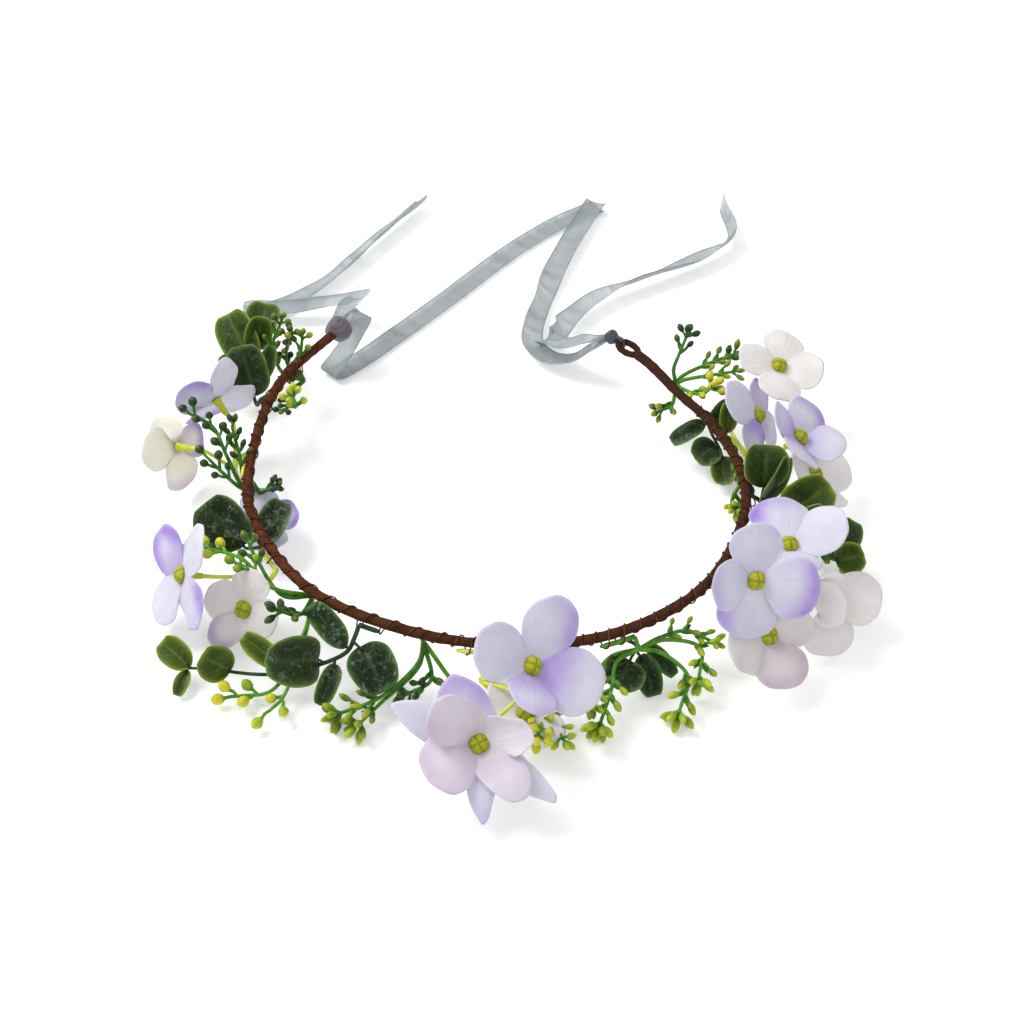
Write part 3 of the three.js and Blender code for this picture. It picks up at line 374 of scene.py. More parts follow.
# ---- Mesh building ----
def grid_faces(rows, columns, wrap=False, first=0, flip=False):
    faces = []
    for r in range(rows - 1):
        for c in range(columns if wrap else columns - 1):
            d = (c + 1) % columns
            face = (first + r * columns + c, first + r * columns + d,
                    first + (r + 1) * columns + d, first + (r + 1) * columns + c)
            faces.append(face[::-1] if flip else face)
    return faces


def capped_faces(rows, columns):
    """A closed tube's faces: its wall and a cap at each end."""
    last = (rows - 1) * columns
    caps = [tuple(range(columns))[::-1], tuple(last + k for k in range(columns))]
    return grid_faces(rows, columns, wrap=True) + caps


def on_rows(values, rows, sides):
    """Numbers given once, or once per row, spread over every point of a tube."""
    return {k: np.repeat(np.broadcast_to(np.asarray(v, float), rows), sides) for k, v in values.items()}


class Build:
    """Collects the points, faces and per-point numbers of one piece."""

    def __init__(self, *names):
        self.points, self.faces, self.slots, self.count = [], [], [], 0
        self.values = {n: [] for n in names}

    def add(self, points, faces, slot=0, **values):
        points = np.asarray(points, float).reshape(-1, 3)
        self.points.append(points)
        self.faces += [tuple(i + self.count for i in f) for f in faces]
        self.slots += [slot] * len(faces)
        for n, kept in self.values.items():
            kept.append(np.broadcast_to(np.asarray(values.get(n, 0.0), float).ravel(), len(points)))
        self.count += len(points)

    def tube(self, points, radius, sides=8, slot=0, **values):
        points = np.asarray(points, float)
        t, n = carried(points)
        b = np.cross(t, n)
        a = round_angles(sides)[None, :, None]
        r = np.broadcast_to(np.asarray(radius, float), len(points))[:, None, None]
        ring = points[:, None] + r * (np.cos(a) * n[:, None] + np.sin(a) * b[:, None])
        self.add(ring, capped_faces(len(points), sides), slot, **on_rows(values, len(points), sides))

    def lathe(self, at, front, outline, sides, shape, **values):
        """Turns an outline of (radius, height) round front. shape(angle) swells it."""
        front = unit(front)
        x = unit(np.cross(front, [0, 0, 1] if abs(front[2]) < 0.9 else [1, 0, 0]))
        y = np.cross(front, x)
        a = round_angles(sides)
        swell = shape(a)
        rows = [
            at + front * h + r * swell[:, None] * (np.cos(a)[:, None] * x + np.sin(a)[:, None] * y)
            for r, h in outline
        ]
        faces = capped_faces(len(outline), sides)
        self.add(np.array(rows), faces, **on_rows(values, len(outline), sides))

    def skin(self, middle, normal, thick, wrap=False, **values):
        """A closed sheet on a lattice of middle points, thick across normal."""
        rows, columns = middle.shape[:2]
        half = np.broadcast_to(np.asarray(thick, float) / 2, (rows, columns))[..., None]
        both = np.concatenate([(middle + normal * half * sign).reshape(-1, 3) for sign in (1, -1)])
        size = rows * columns
        faces = grid_faces(rows, columns, wrap) + grid_faces(rows, columns, wrap, first=size, flip=True)
        edges = [[r * columns + c for c in range(columns)] for r in (0, rows - 1)]
        for k, line in enumerate(edges):
            pairs = list(zip(line, line[1:] + line[:1])) if wrap else list(zip(line, line[1:]))
            faces += [(p, q, q + size, p + size)[:: 1 if k else -1] for p, q in pairs]
        if not wrap:
            for k, c in enumerate((0, columns - 1)):
                line = [r * columns + c for r in range(rows)]
                faces += [(p, q, q + size, p + size)[:: -1 if k else 1] for p, q in zip(line, line[1:])]
        wide = {
            k: np.tile(np.broadcast_to(np.asarray(v, float), (rows, columns)).ravel(), 2)
            for k, v in values.items()
        }
        self.add(both, faces, **wide)

    def piece(self, name, materials, body=None, slot=None, replaces=()):
        mesh = bpy.data.meshes.new(name)
        points = in_metres(np.concatenate(self.points))
        mesh.from_pydata(points.tolist(), [], self.faces)
        for n, kept in self.values.items():
            attribute = mesh.attributes.new(n, "FLOAT", "POINT")
            attribute.data.foreach_set("value", np.concatenate(kept).astype(np.float32))
        for m in materials:
            mesh.materials.append(m)
        mesh.polygons.foreach_set("material_index", self.slots)
        work = bmesh.new()
        work.from_mesh(mesh)
        bmesh.ops.recalc_face_normals(work, faces=work.faces)
        work.to_mesh(mesh)
        work.free()
        mesh.polygons.foreach_set("use_smooth", [True] * len(mesh.polygons))
        mesh.update()
        made = bpy.data.objects.new(name, mesh)
        bpy.context.scene.collection.objects.link(made)
        if body:
            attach(made, body)
        if replaces:
            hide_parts(*replaces)
        return made


def lattice_normals(middle, wrap=False):
    down = np.gradient(middle, axis=0)
    if wrap:
        over = (np.roll(middle, -1, axis=1) - np.roll(middle, 1, axis=1)) / 2
    else:
        over = np.gradient(middle, axis=1)
    n = np.cross(down, over)
    size = np.linalg.norm(n, axis=-1, keepdims=True)
    return n / np.maximum(size, 1e-9)


# ---- Materials ----
class Surface:
    """A node material with a Principled shader, made from short calls."""

    def __init__(self, name, **settings):
        self.made = bpy.data.materials.new(name)
        self.made.use_nodes = True
        self.tree = self.made.node_tree
        self.tree.nodes.clear()
        self.shader = self.node("BsdfPrincipled")
        for key, value in settings.items():
            self.put(self.shader, key.replace("_", " "), value)
        self.out = self.node("OutputMaterial")
        self.tree.links.new(self.shader.outputs[0], self.out.inputs["Surface"])

    def node(self, kind, **settings):
        made = self.tree.nodes.new("ShaderNode" + kind)
        for key, value in settings.items():
            setattr(made, key, value)
        return made

    def put(self, node, socket, value):
        target = node.inputs[socket]
        if isinstance(value, bpy.types.NodeSocket):
            self.tree.links.new(value, target)
        elif target.type == "RGBA" and len(value) == 3:
            target.default_value = (*value, 1)
        else:
            target.default_value = value

    def attribute(self, name):
        return self.node("Attribute", attribute_name=name).outputs["Fac"]

    def place(self):
        return self.node("TexCoord").outputs["Object"]

    def noise(self, scale, detail=3.0, roughness=0.55, at=None, stretch=None, distortion=0.0):
        at = self.place() if at is None else at
        if stretch:
            turned = self.node("Mapping")
            self.put(turned, "Vector", at)
            self.put(turned, "Scale", stretch)
            at = turned.outputs[0]
        made = self.node("TexNoise")
        for key, value in (("Vector", at), ("Scale", scale), ("Detail", detail), ("Roughness", roughness),
                           ("Distortion", distortion)):
            self.put(made, key, value)
        return made.outputs["Fac"]

    def maths(self, kind, a, b=0.0):
        made = self.node("Math", operation=kind)
        self.put(made, 0, a)
        self.put(made, 1, b)
        return made.outputs[0]

    def ramp(self, value, low, high, to_low=0.0, to_high=1.0):
        made = self.node("MapRange")
        self.put(made, "Value", value)
        for key, v in (("From Min", low), ("From Max", high), ("To Min", to_low), ("To Max", to_high)):
            self.put(made, key, v)
        return made.outputs[0]

    def mix(self, share, a, b):
        made = self.node("Mix", data_type="RGBA")
        self.put(made, 0, share)
        self.put(made, 6, a)
        self.put(made, 7, b)
        return made.outputs[2]

    def bump(self, height, strength, distance=0.0002):
        made = self.node("Bump")
        self.put(made, "Height", height)
        self.put(made, "Strength", strength)
        self.put(made, "Distance", distance)
        self.put(self.shader, "Normal", made.outputs[0])
        return made.outputs[0]

    def colour(self, value):
        self.put(self.shader, "Base Color", value)

    def polish(self, value, low, high, smoothest, roughest):
        """Roughness that follows a value, from smoothest at low to roughest at high."""
        self.put(self.shader, "Roughness", self.ramp(value, low, high, smoothest, roughest))

    def see_through(self, share, colour, normal=None):
        """Lets light through a thin cloth from behind."""
        glow = self.node("BsdfTranslucent")
        self.put(glow, "Color", colour)
        if normal is not None:
            self.put(glow, "Normal", normal)
        mixed = self.node("MixShader")
        mixed.inputs[0].default_value = share
        self.tree.links.new(self.shader.outputs[0], mixed.inputs[1])
        self.tree.links.new(glow.outputs[0], mixed.inputs[2])
        self.tree.links.new(mixed.outputs[0], self.out.inputs["Surface"])


def petal_cloth(name, white, shade, dye, thin=0.3):
    """Printed satin: a pale ground, dye from the lilac numbers, pressed veins and a fine weave."""
    s = Surface(name, Roughness=0.62, Sheen_Weight=0.25, Sheen_Roughness=0.4, Specular_IOR_Level=0.28)
    along, across, lilac = s.attribute("along"), s.attribute("across"), s.attribute("lilac")
    cloud = s.noise(90, 3)
    ground = s.mix(s.ramp(cloud, 0.35, 0.7), white, shade)
    uneven = s.maths("MULTIPLY", lilac, s.ramp(s.noise(160, 4), 0.25, 0.75, 0.72, 1.2))
    dyed = s.mix(s.maths("MINIMUM", uneven, 1.0), ground, dye)
    wobble = s.maths("MULTIPLY", s.noise(220, 2), 1.6)
    fan = s.maths("SINE", s.maths("ADD", s.maths("MULTIPLY", across, 30.0), wobble))
    fade = s.ramp(along, 0.05, 0.95, 1.0, 0.25)
    veins = s.maths("MULTIPLY", s.ramp(fan, 0.45, 1.0), fade)
    rim = s.ramp(along, 0.93, 1.0)
    darker = s.mix(s.maths("MULTIPLY", veins, 0.06), dyed, (dye[0] * 0.8, dye[1] * 0.8, dye[2] * 0.85))
    lit = s.mix(s.maths("MULTIPLY", rim, 0.35), darker, (0.92, 0.91, 0.94))
    s.colour(lit)
    weave = s.maths("ADD", s.maths("MULTIPLY", fan, 0.2), s.maths("MULTIPLY", s.noise(2600, 2), 0.5))
    weave = s.maths("ADD", weave, s.maths("MULTIPLY", s.noise(150, 4, distortion=1.2), 3.2))
    normal = s.bump(weave, 0.5, 0.00024)
    s.polish(s.noise(500, 2), 0.3, 0.7, 0.52, 0.72)
    s.see_through(thin, lit, normal)
    return s.made


PETALS = {
    "lilac": petal_cloth("petal_lilac", (0.80, 0.79, 0.87), (0.71, 0.70, 0.81), (0.44, 0.29, 0.76)),
    "cream": petal_cloth("petal_cream", (0.90, 0.87, 0.86), (0.83, 0.80, 0.79), (0.57, 0.45, 0.72)),
    "ivory": petal_cloth("petal_ivory", (0.93, 0.91, 0.83), (0.87, 0.85, 0.78), (0.52, 0.40, 0.68), 0.48),
    "rose": petal_cloth("petal_rose", (0.85, 0.81, 0.85), (0.77, 0.71, 0.78), (0.60, 0.47, 0.66)),
    "mauve": petal_cloth("petal_mauve", (0.80, 0.77, 0.76), (0.74, 0.70, 0.71), (0.58, 0.45, 0.58)),
}


def crepe_tape():
    s = Surface("crepe_tape", Roughness=0.85, Specular_IOR_Level=0.04)
    edge, old = s.attribute("edge"), s.attribute("old")
    tone = s.noise(260, 4)
    warm = s.mix(s.ramp(tone, 0.3, 0.7), (0.050, 0.016, 0.007), (0.115, 0.038, 0.016))
    aged = s.mix(old, warm, (0.045, 0.020, 0.012))
    # Painted shade: the lap edges are darkened where each turn of tape steps over the last.
    s.colour(s.mix(s.maths("MULTIPLY", edge, 0.6), aged, (0.028, 0.010, 0.006)))
    pleats = s.noise(900, 3, distortion=0.6)
    s.bump(s.maths("ADD", pleats, s.maths("MULTIPLY", tone, 0.5)), 0.6, 0.0004)
    s.polish(tone, 0.3, 0.7, 0.7, 0.92)
    return s.made


def coated_wire():
    s = Surface("coated_wire", Roughness=0.5, Specular_IOR_Level=0.1)
    tone = s.noise(700, 3)
    s.colour(s.mix(s.ramp(tone, 0.35, 0.7), (0.020, 0.007, 0.004), (0.20, 0.065, 0.026)))
    s.bump(tone, 0.3, 0.0002)
    s.polish(tone, 0.3, 0.7, 0.42, 0.66)
    return s.made


def drawn_steel():
    s = Surface("drawn_steel", Metallic=1.0, Roughness=0.35)
    tone = s.noise(1200, 2)
    s.colour(s.mix(tone, (0.42, 0.43, 0.45), (0.6, 0.6, 0.62)))
    s.bump(tone, 0.15, 0.0001)
    return s.made


def pip_plastic():
    s = Surface("pip_plastic", Roughness=0.5, Specular_IOR_Level=0.25, Subsurface_Weight=0.15,
                Subsurface_Scale=0.001)
    groove, high = s.attribute("groove"), s.attribute("high")
    grain = s.noise(1400, 3)
    body = s.mix(s.ramp(grain, 0.3, 0.7), (0.22, 0.24, 0.004), (0.42, 0.45, 0.012))
    # Painted light and shade: the pip is paler where it stands high, on its dome top and beads, and darker
    # towards its low rim.
    top = s.mix(s.maths("MULTIPLY", high, 0.5), body, (0.50, 0.52, 0.03))
    # Painted shade: the cross groove and the underside ring are darkened in the colour.
    s.colour(s.mix(s.maths("MULTIPLY", groove, 0.5), top, (0.10, 0.12, 0.003)))
    s.bump(grain, 0.5, 0.0004)
    s.polish(grain, 0.3, 0.7, 0.42, 0.62)
    return s.made


def stem_plastic():
    s = Surface("stem_plastic", Roughness=0.4, Subsurface_Weight=0.2, Subsurface_Scale=0.001,
                Specular_IOR_Level=0.3)
    cup = s.attribute("cup")
    tone = s.noise(300, 3)
    shaft = s.mix(s.ramp(tone, 0.3, 0.7), (0.52, 0.62, 0.05), (0.74, 0.78, 0.12))
    s.colour(s.mix(cup, shaft, (0.52, 0.56, 0.03)))
    s.bump(tone, 0.2, 0.0003)
    s.polish(tone, 0.3, 0.7, 0.32, 0.5)
    return s.made


def leaf_plastic():
    """Moulded leaf: dark face, lighter rim and midrib, and a dusting of white frost."""
    s = Surface("leaf_plastic", Roughness=0.4, Coat_Weight=0.05, Coat_Roughness=0.15, Specular_IOR_Level=0.08)
    rim, warm, frost, vein = (s.attribute(n) for n in ("rim", "warm", "frost", "vein"))
    tone = s.noise(120, 4)
    cold = s.mix(s.ramp(tone, 0.3, 0.7), (0.002, 0.007, 0.003), (0.009, 0.022, 0.009))
    olive = s.mix(s.ramp(tone, 0.3, 0.7), (0.018, 0.038, 0.005), (0.062, 0.10, 0.011))
    face = s.mix(s.maths("MULTIPLY", warm, 0.85), cold, olive)
    edge_colour = s.mix(warm, (0.09, 0.21, 0.06), (0.30, 0.42, 0.03))
    worn = s.maths("MULTIPLY", rim, s.ramp(s.noise(200, 2), 0.3, 0.6, 0.6, 1.0))
    rimmed = s.mix(worn, face, edge_colour)
    vein_colour = s.mix(warm, (0.04, 0.08, 0.035), (0.17, 0.25, 0.04))
    ribbed = s.mix(s.maths("MULTIPLY", vein, 0.35), rimmed, vein_colour)
    smear = s.ramp(s.noise(230, 7, 0.78, distortion=0.8), 0.54, 0.70)
    specks = s.ramp(s.noise(1300, 4, 0.7), 0.60, 0.68)
    streaks = s.ramp(s.noise(420, 5, 0.75, stretch=(1, 0.25, 0.6), distortion=1.5), 0.60, 0.70)
    fine = s.maths("MULTIPLY", specks, s.ramp(s.noise(150, 3), 0.4, 0.65, 0.1, 0.6))
    scratches = s.maths("MAXIMUM", fine, s.maths("MULTIPLY", streaks, 0.75))
    marks = s.maths("MAXIMUM", s.maths("MULTIPLY", smear, 0.62), scratches)
    dust = s.maths("MULTIPLY", marks, frost)
    s.colour(s.mix(s.maths("MINIMUM", dust, 0.85), ribbed, (0.47, 0.57, 0.50)))
    s.bump(s.maths("ADD", s.maths("MULTIPLY", vein, -0.6), s.maths("MULTIPLY", smear, 0.4)), 0.4, 0.0005)
    s.polish(dust, 0.0, 0.5, 0.30, 0.65)
    return s.made


def twig_plastic():
    s = Surface("twig_plastic", Roughness=0.45, Specular_IOR_Level=0.15)
    tone = s.noise(300, 3)
    s.colour(s.mix(s.ramp(tone, 0.3, 0.7), (0.010, 0.026, 0.014), (0.035, 0.075, 0.025)))
    s.bump(tone, 0.3, 0.0003)
    s.polish(tone, 0.3, 0.7, 0.38, 0.6)
    return s.made


def sprig_plastic():
    """Shiny moulded sprig: green shoots and buds that go from dark green to yellow."""
    s = Surface("sprig_plastic", Roughness=0.3, Coat_Weight=0.08, Coat_Roughness=0.2, Specular_IOR_Level=0.25)
    bud, ripe, tip = s.attribute("bud"), s.attribute("ripe"), s.attribute("tip")
    tone = s.ramp(s.noise(350, 3), 0.3, 0.7)
    dark_shoot = s.mix(tone, (0.010, 0.055, 0.004), (0.045, 0.20, 0.007))
    light_shoot = s.mix(tone, (0.05, 0.20, 0.008), (0.17, 0.45, 0.016))
    shoot = s.mix(s.maths("MULTIPLY", ripe, 0.8), dark_shoot, light_shoot)
    green_bud = s.mix(tone, (0.005, 0.020, 0.004), (0.020, 0.075, 0.009))
    ripe_bud = s.mix(tone, (0.16, 0.34, 0.008), (0.38, 0.52, 0.02))
    berry = s.mix(s.ramp(ripe, 0.15, 0.75), green_bud, ripe_bud)
    gold = s.maths("MAXIMUM", s.maths("MULTIPLY", tip, ripe), s.ramp(ripe, 0.8, 0.95, 0.0, 0.9))
    tipped = s.mix(gold, berry, s.mix(tone, (0.50, 0.48, 0.012), (0.70, 0.62, 0.05)))
    s.colour(s.mix(bud, shoot, tipped))
    s.bump(tone, 0.2, 0.0003)
    s.polish(tone, 0.0, 1.0, 0.24, 0.42)
    return s.made


# Radians of the thread pattern for each metre of ribbon: about three threads a millimetre.
THREAD_RATE = 19000


def organza(name, body, selvage, alpha_low, alpha_high):
    """Sheer woven ribbon: crossing threads, closer at the two selvages."""
    s = Surface(name, Roughness=0.55, Sheen_Weight=0.35, Sheen_Roughness=0.35, Specular_IOR_Level=0.35)
    edge, along, across = s.attribute("edge"), s.attribute("run"), s.attribute("width")
    warp, weft = (s.maths("SINE", s.maths("MULTIPLY", way, THREAD_RATE)) for way in (across, along))
    threadwork = s.maths("MULTIPLY", s.maths("ADD", warp, weft), 0.25)
    place = s.node("CombineXYZ")
    s.put(place, "X", s.maths("MULTIPLY", along, 130.0))
    s.put(place, "Y", s.maths("MULTIPLY", across, 40.0))
    cloud = s.noise(1.0, 4, 0.6, at=place.outputs[0], distortion=0.8)
    tint = s.mix(s.ramp(cloud, 0.35, 0.65), body, tuple(c * 0.8 for c in body))
    s.colour(s.mix(edge, tint, selvage))
    density = s.maths("ADD", s.maths("MULTIPLY", threadwork, 0.35), cloud)
    open_weave = s.ramp(density, 0.2, 0.85, alpha_low, alpha_high)
    s.put(s.shader, "Alpha", s.maths("MAXIMUM", open_weave, s.maths("MULTIPLY", edge, 0.8)))
    s.bump(threadwork, 0.25, 0.0001)
    s.polish(cloud, 0.3, 0.7, 0.48, 0.64)
    return s.made


TAPE, WIRE, STEEL = crepe_tape(), coated_wire(), drawn_steel()
PIP, STEM, LEAF, TWIG, SPRIG = pip_plastic(), stem_plastic(), leaf_plastic(), twig_plastic(), sprig_plastic()
RIBBON = organza("organza", (0.36, 0.41, 0.43), (0.25, 0.30, 0.325), 0.42, 0.74)
KNOT = organza("organza_knot", (0.15, 0.13, 0.15), (0.11, 0.10, 0.115), 0.80, 0.95)
DARK_KNOT = organza("organza_dark_knot", (0.055, 0.055, 0.075), (0.05, 0.05, 0.065), 0.86, 0.97)

# ---- Camera, light and floor ----
AIM = np.array([7.5, -24.5, 24.0])
CAMERA_ELEVATION, CAMERA_AWAY, CAMERA_LENS, CAMERA_SENSOR = 44.0, 650.0, 63.48, 36
FLOOR_HALF, FLOOR_HEIGHT = 4.0, -0.0003


def stage_and_camera():
    e = math.radians(CAMERA_ELEVATION)
    lens = bpy.data.cameras.new("camera")
    lens.lens, lens.sensor_width = CAMERA_LENS, CAMERA_SENSOR
    camera = bpy.data.objects.new("camera", lens)
    camera.location = in_metres(AIM + CAMERA_AWAY * np.array([0, -math.cos(e), math.sin(e)]))
    camera.rotation_euler = (math.radians(90) - e, 0, 0)
    bpy.context.scene.collection.objects.link(camera)
    bpy.context.scene.camera = camera

    paper = Surface("pale_floor", Roughness=0.9, Specular_IOR_Level=0.1, Emission_Strength=0.2)
    paper.put(paper.shader, "Emission Color", (1, 1, 1))
    paper.colour(paper.mix(paper.noise(3, 2), (0.93, 0.93, 0.93), (0.95, 0.95, 0.95)))
    mesh = bpy.data.meshes.new("floor")
    signs = ((-1, -1), (1, -1), (1, 1), (-1, 1))
    corners = [(x * FLOOR_HALF, y * FLOOR_HALF, FLOOR_HEIGHT) for x, y in signs]
    mesh.from_pydata(corners, [], [(0, 1, 2, 3)])
    mesh.materials.append(paper.made)
    floor = bpy.data.objects.new("floor", mesh)
    bpy.context.scene.collection.objects.link(floor)

    def lamp(name, place, size, energy):
        light = bpy.data.lights.new(name, "AREA")
        light.shape, light.size, light.energy = "DISK", size, energy
        made = bpy.data.objects.new(name, light)
        made.location = place
        way = -np.asarray(place, float)
        made.rotation_euler = Vector(way).to_track_quat("-Z", "Y").to_euler()
        bpy.context.scene.collection.objects.link(made)

    lamp("key", (-0.7, 0.25, 1.0), 0.7, 11.6)
    lamp("fill", (0.4, -0.9, 0.8), 0.9, 2.0)

    world = bpy.data.worlds.new("studio")
    bpy.context.scene.world = world
    world.use_nodes = True
    world.node_tree.nodes["Background"].inputs[0].default_value = (1, 1, 1, 1)
    sky = world.node_tree
    place, parts, fade = (sky.nodes.new("ShaderNode" + n) for n in ("TexCoord", "SeparateXYZ", "MapRange"))
    sky.links.new(place.outputs["Generated"], parts.inputs[0])
    sky.links.new(parts.outputs["Z"], fade.inputs["Value"])
    for key, value in (("From Min", 0.0), ("From Max", 0.9), ("To Min", 0.25), ("To Max", 0.85)):
        fade.inputs[key].default_value = value
    sky.links.new(fade.outputs[0], sky.nodes["Background"].inputs[1])
    bpy.context.scene.view_settings.view_transform = "Standard"


stage_and_camera()

# ---- The hoop ----
TAPE_LAP = 9.5
WIRE_FROM, WIRE_TO, TURN_SPREAD = 142.0, 381, (0.72, 1.28)
# Degrees from one turn of the binding wire to the next, below each hoop angle.
WIRE_STEPS = ((147, 0.75), (235, 4.6), (262, 5.4), (WIRE_TO, 3.4))


def bend_at_hinge(piece):
    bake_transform(piece)


def eye_frame(side):
    long, end, sense = (LEFT_EYE[0], LEFT_END, -1) if side == "left" else (RIGHT_EYE[0], RIGHT_END, 1)
    at, along, out = hoop_frame(end)
    outward = along * sense
    return at + outward * long, outward, out, at + outward * 2 * long


def eye_line(side, count):
    centre, outward, out, _ = eye_frame(side)
    long, wide = LEFT_EYE if side == "left" else RIGHT_EYE
    a = np.linspace(0, 2 * np.pi, count)
    return centre + np.outer(long * np.cos(a), outward) + np.outer(wide * np.sin(a), out)


def tape_piece():
    """Crepe tape wound on a slant, each turn lapping the last, and round both eyes."""
    rng = np.random.default_rng(4)
    b = Build("edge", "old")
    count, sides = 820, 22
    angles = np.linspace(LEFT_END, RIGHT_END, count)
    at, _, out = hoop_frame(angles)
    a = round_angles(sides)
    gone = travelled(at)
    wander = np.interp(gone, np.linspace(0, gone[-1], 60), np.cumsum(rng.normal(0, 0.05, 60)))
    lap = (gone[:, None] / TAPE_LAP + wander[:, None] - a[None] / (2 * np.pi)) % 1.0
    soft = np.interp(gone, np.linspace(0, gone[-1], 160), rng.normal(0, 0.06, 160))
    step = 0.06 * (lap - 0.5) - 0.06 * smoothstep(0.93, 1.0, lap)
    creases = 0.045 * np.sin(a[None] * 4 + gone[:, None] * 1.3 + 8 * wander[:, None])
    creases = creases + 0.03 * np.sin(a[None] * 9 + gone[:, None] * 0.7)
    thicker = 0.15 * smoothstep(RIGHT_END - 22, RIGHT_END, angles)
    radius = TAPE_RADIUS - 0.05 + step + creases + soft[:, None] + thicker[:, None]
    across = np.cos(a)[None, :, None] * out[:, None] + np.sin(a)[None, :, None] * UP
    ring = at[:, None] + radius[..., None] * across
    # edge marks the lap steps, which the tape's colour darkens as painted shade.
    edge = smoothstep(0.84, 0.97, lap) + smoothstep(0.1, 0.0, lap)
    old = np.repeat(0.45 * smoothstep(225, 262, angles) + 0.5 * smoothstep(352, 385, angles), sides)
    b.add(ring, capped_faces(count, sides), edge=np.minimum(edge, 1), old=old)
    for side, aged in (("left", 0.3), ("right", 1.0)):
        line = eye_line(side, 60)
        laps = np.sin(np.linspace(0, 2 * np.pi * 9, 60))
        # The eye tape's edge numbers give darker lap bands, painted shade.
        b.tube(line, EYE_TAPE + 0.05 * laps, 16, edge=0.5 + 0.5 * laps, old=aged)
    made = b.piece("paper_tape", [TAPE], slot="paper_tape", replaces=["paper_tape_left", "paper_tape_right"])
    bend_at_hinge(made)


def core_piece():
    b = Build()
    b.tube(hoop_point(np.linspace(LEFT_END + 0.4, RIGHT_END - 0.4, 260)), CORE_RADIUS, 10)
    made = b.piece("core_wire", [STEEL], slot="core_wire", replaces=["core_wire_left", "core_wire_right"])
    bend_at_hinge(made)


def turned_angle(angle):
    """Hoop angles run on past 360 from the left end to the right end."""
    return angle + 360 if angle < 100 else angle


BOUND = [
    (tuple(sorted(turned_angle(v) for v in entry[1])), entry[0])
    for entry in [*STEMS.values(), *EUCALYPTUS.values(), *SPRIGS.values()]
]


def wire_piece():
    """Fine brown wire wound over the tape and the stems it holds."""
    rng = np.random.default_rng(9)
    stations = [WIRE_FROM]
    while stations[-1] < WIRE_TO:
        a = stations[-1]
        step = next(degrees for below, degrees in WIRE_STEPS if a < below)
        stations.append(a + step * rng.uniform(*TURN_SPREAD))
    turns = np.array(stations)
    per_turn = 18
    phase = np.linspace(0, len(turns) - 1, (len(turns) - 1) * per_turn + 1)
    angle = np.interp(phase, np.arange(len(turns)), turns)
    theta = 2 * np.pi * phase + 0.5 * np.sin(phase * 0.7)
    c, s = np.cos(theta), np.sin(theta)
    reach = np.full(len(phase), TAPE_RADIUS + 0.06)
    x, y = reach * c, reach * s
    for (low, high), seat in BOUND:
        near = smoothstep(low - 1.2, low + 0.2, angle) * smoothstep(high + 1.2, high - 0.2, angle)
        sx, sy = STEM_SEAT * math.cos(math.radians(seat)), STEM_SEAT * math.sin(math.radians(seat))
        held = (sx * c + sy * s + STEM_RADIUS) * near
        better = held > reach
        x = np.where(better, sx + STEM_RADIUS * c, x)
        y = np.where(better, sy + STEM_RADIUS * s, y)
        reach = np.maximum(reach, held)
    lift = WIRE_RADIUS * 0.85 + np.interp(phase, np.arange(len(turns)), rng.uniform(0, 0.12, len(turns)))
    at, _, out = hoop_frame(angle)
    line = at + out * (x + lift * c)[:, None] + np.outer(y + lift * s, UP)
    smooth = line.copy()
    smooth[1:-1] = (line[:-2] + 2 * line[1:-1] + line[2:]) / 4
    b = Build()
    b.tube(spaced(smooth, len(smooth)), WIRE_RADIUS, 7)
    made = b.piece("binding_wire", [WIRE], slot="binding_wire",
                   replaces=["binding_wire_left", "binding_wire_right"])
    bend_at_hinge(made)


tape_piece()
core_piece()
wire_piece()


def half_of(name):
    return "right_half" if name.startswith("right") or name == "front_right" else "left_half"


# ---- Florets ----
def floret_frame(floret):
    at, faces, turn = np.array(floret[0], float), floret[1], math.radians(floret[2])
    front = direction(*faces)
    level = np.array([-math.sin(math.radians(faces[0])), math.cos(math.radians(faces[0])), 0])
    upper = np.cross(front, level)
    x = math.cos(turn) * level + math.sin(turn) * upper
    return at, front, x, np.cross(front, x)


def petal_edge(length, half_width, corner, t, point):
    """Outline of one petal: t runs from -1 to 1 round it, from notch to notch."""
    sweep = math.pi - math.asin(min(0.97, corner / half_width))
    half = (length - corner) / (1 + abs(math.cos(sweep)))
    phi = t * sweep
    narrow = 1 - point * (0.5 + 0.5 * math.cos(phi)) ** 3
    return length - half + half * np.cos(phi), half_width * narrow * np.sin(phi)


def bowed(px, length, lean, bow):
    """Bends a petal past the pip's rim: the share of the way to its tip, distance out and height."""
    reach = length - PIP_RIM
    s = np.clip((px - PIP_RIM) / reach, 0, 1)
    fine = np.linspace(0, 1, 40)
    slope = np.radians(lean - bow / 2 + bow * fine)
    flat_x = np.minimum(px, PIP_RIM) + reach * np.interp(s, fine, run_up(np.cos(slope)))
    return s, flat_x, reach * np.interp(s, fine, run_up(np.sin(slope)))


def dyed(dye, s, v):
    """Dye from the tip, the two sides and the base; s runs to the tip, v from side to side."""
    strength = (
        dye[0] * smoothstep(0.5, 1.0, s)
        + dye[1] * smoothstep(0.1, 0.95, -v) * smoothstep(0.1, 0.6, s)
        + dye[2] * smoothstep(0.1, 0.95, v) * smoothstep(0.1, 0.6, s)
        + dye[3] * smoothstep(0.75, 0.1, s)
    )
    return np.clip(strength, 0, 1)


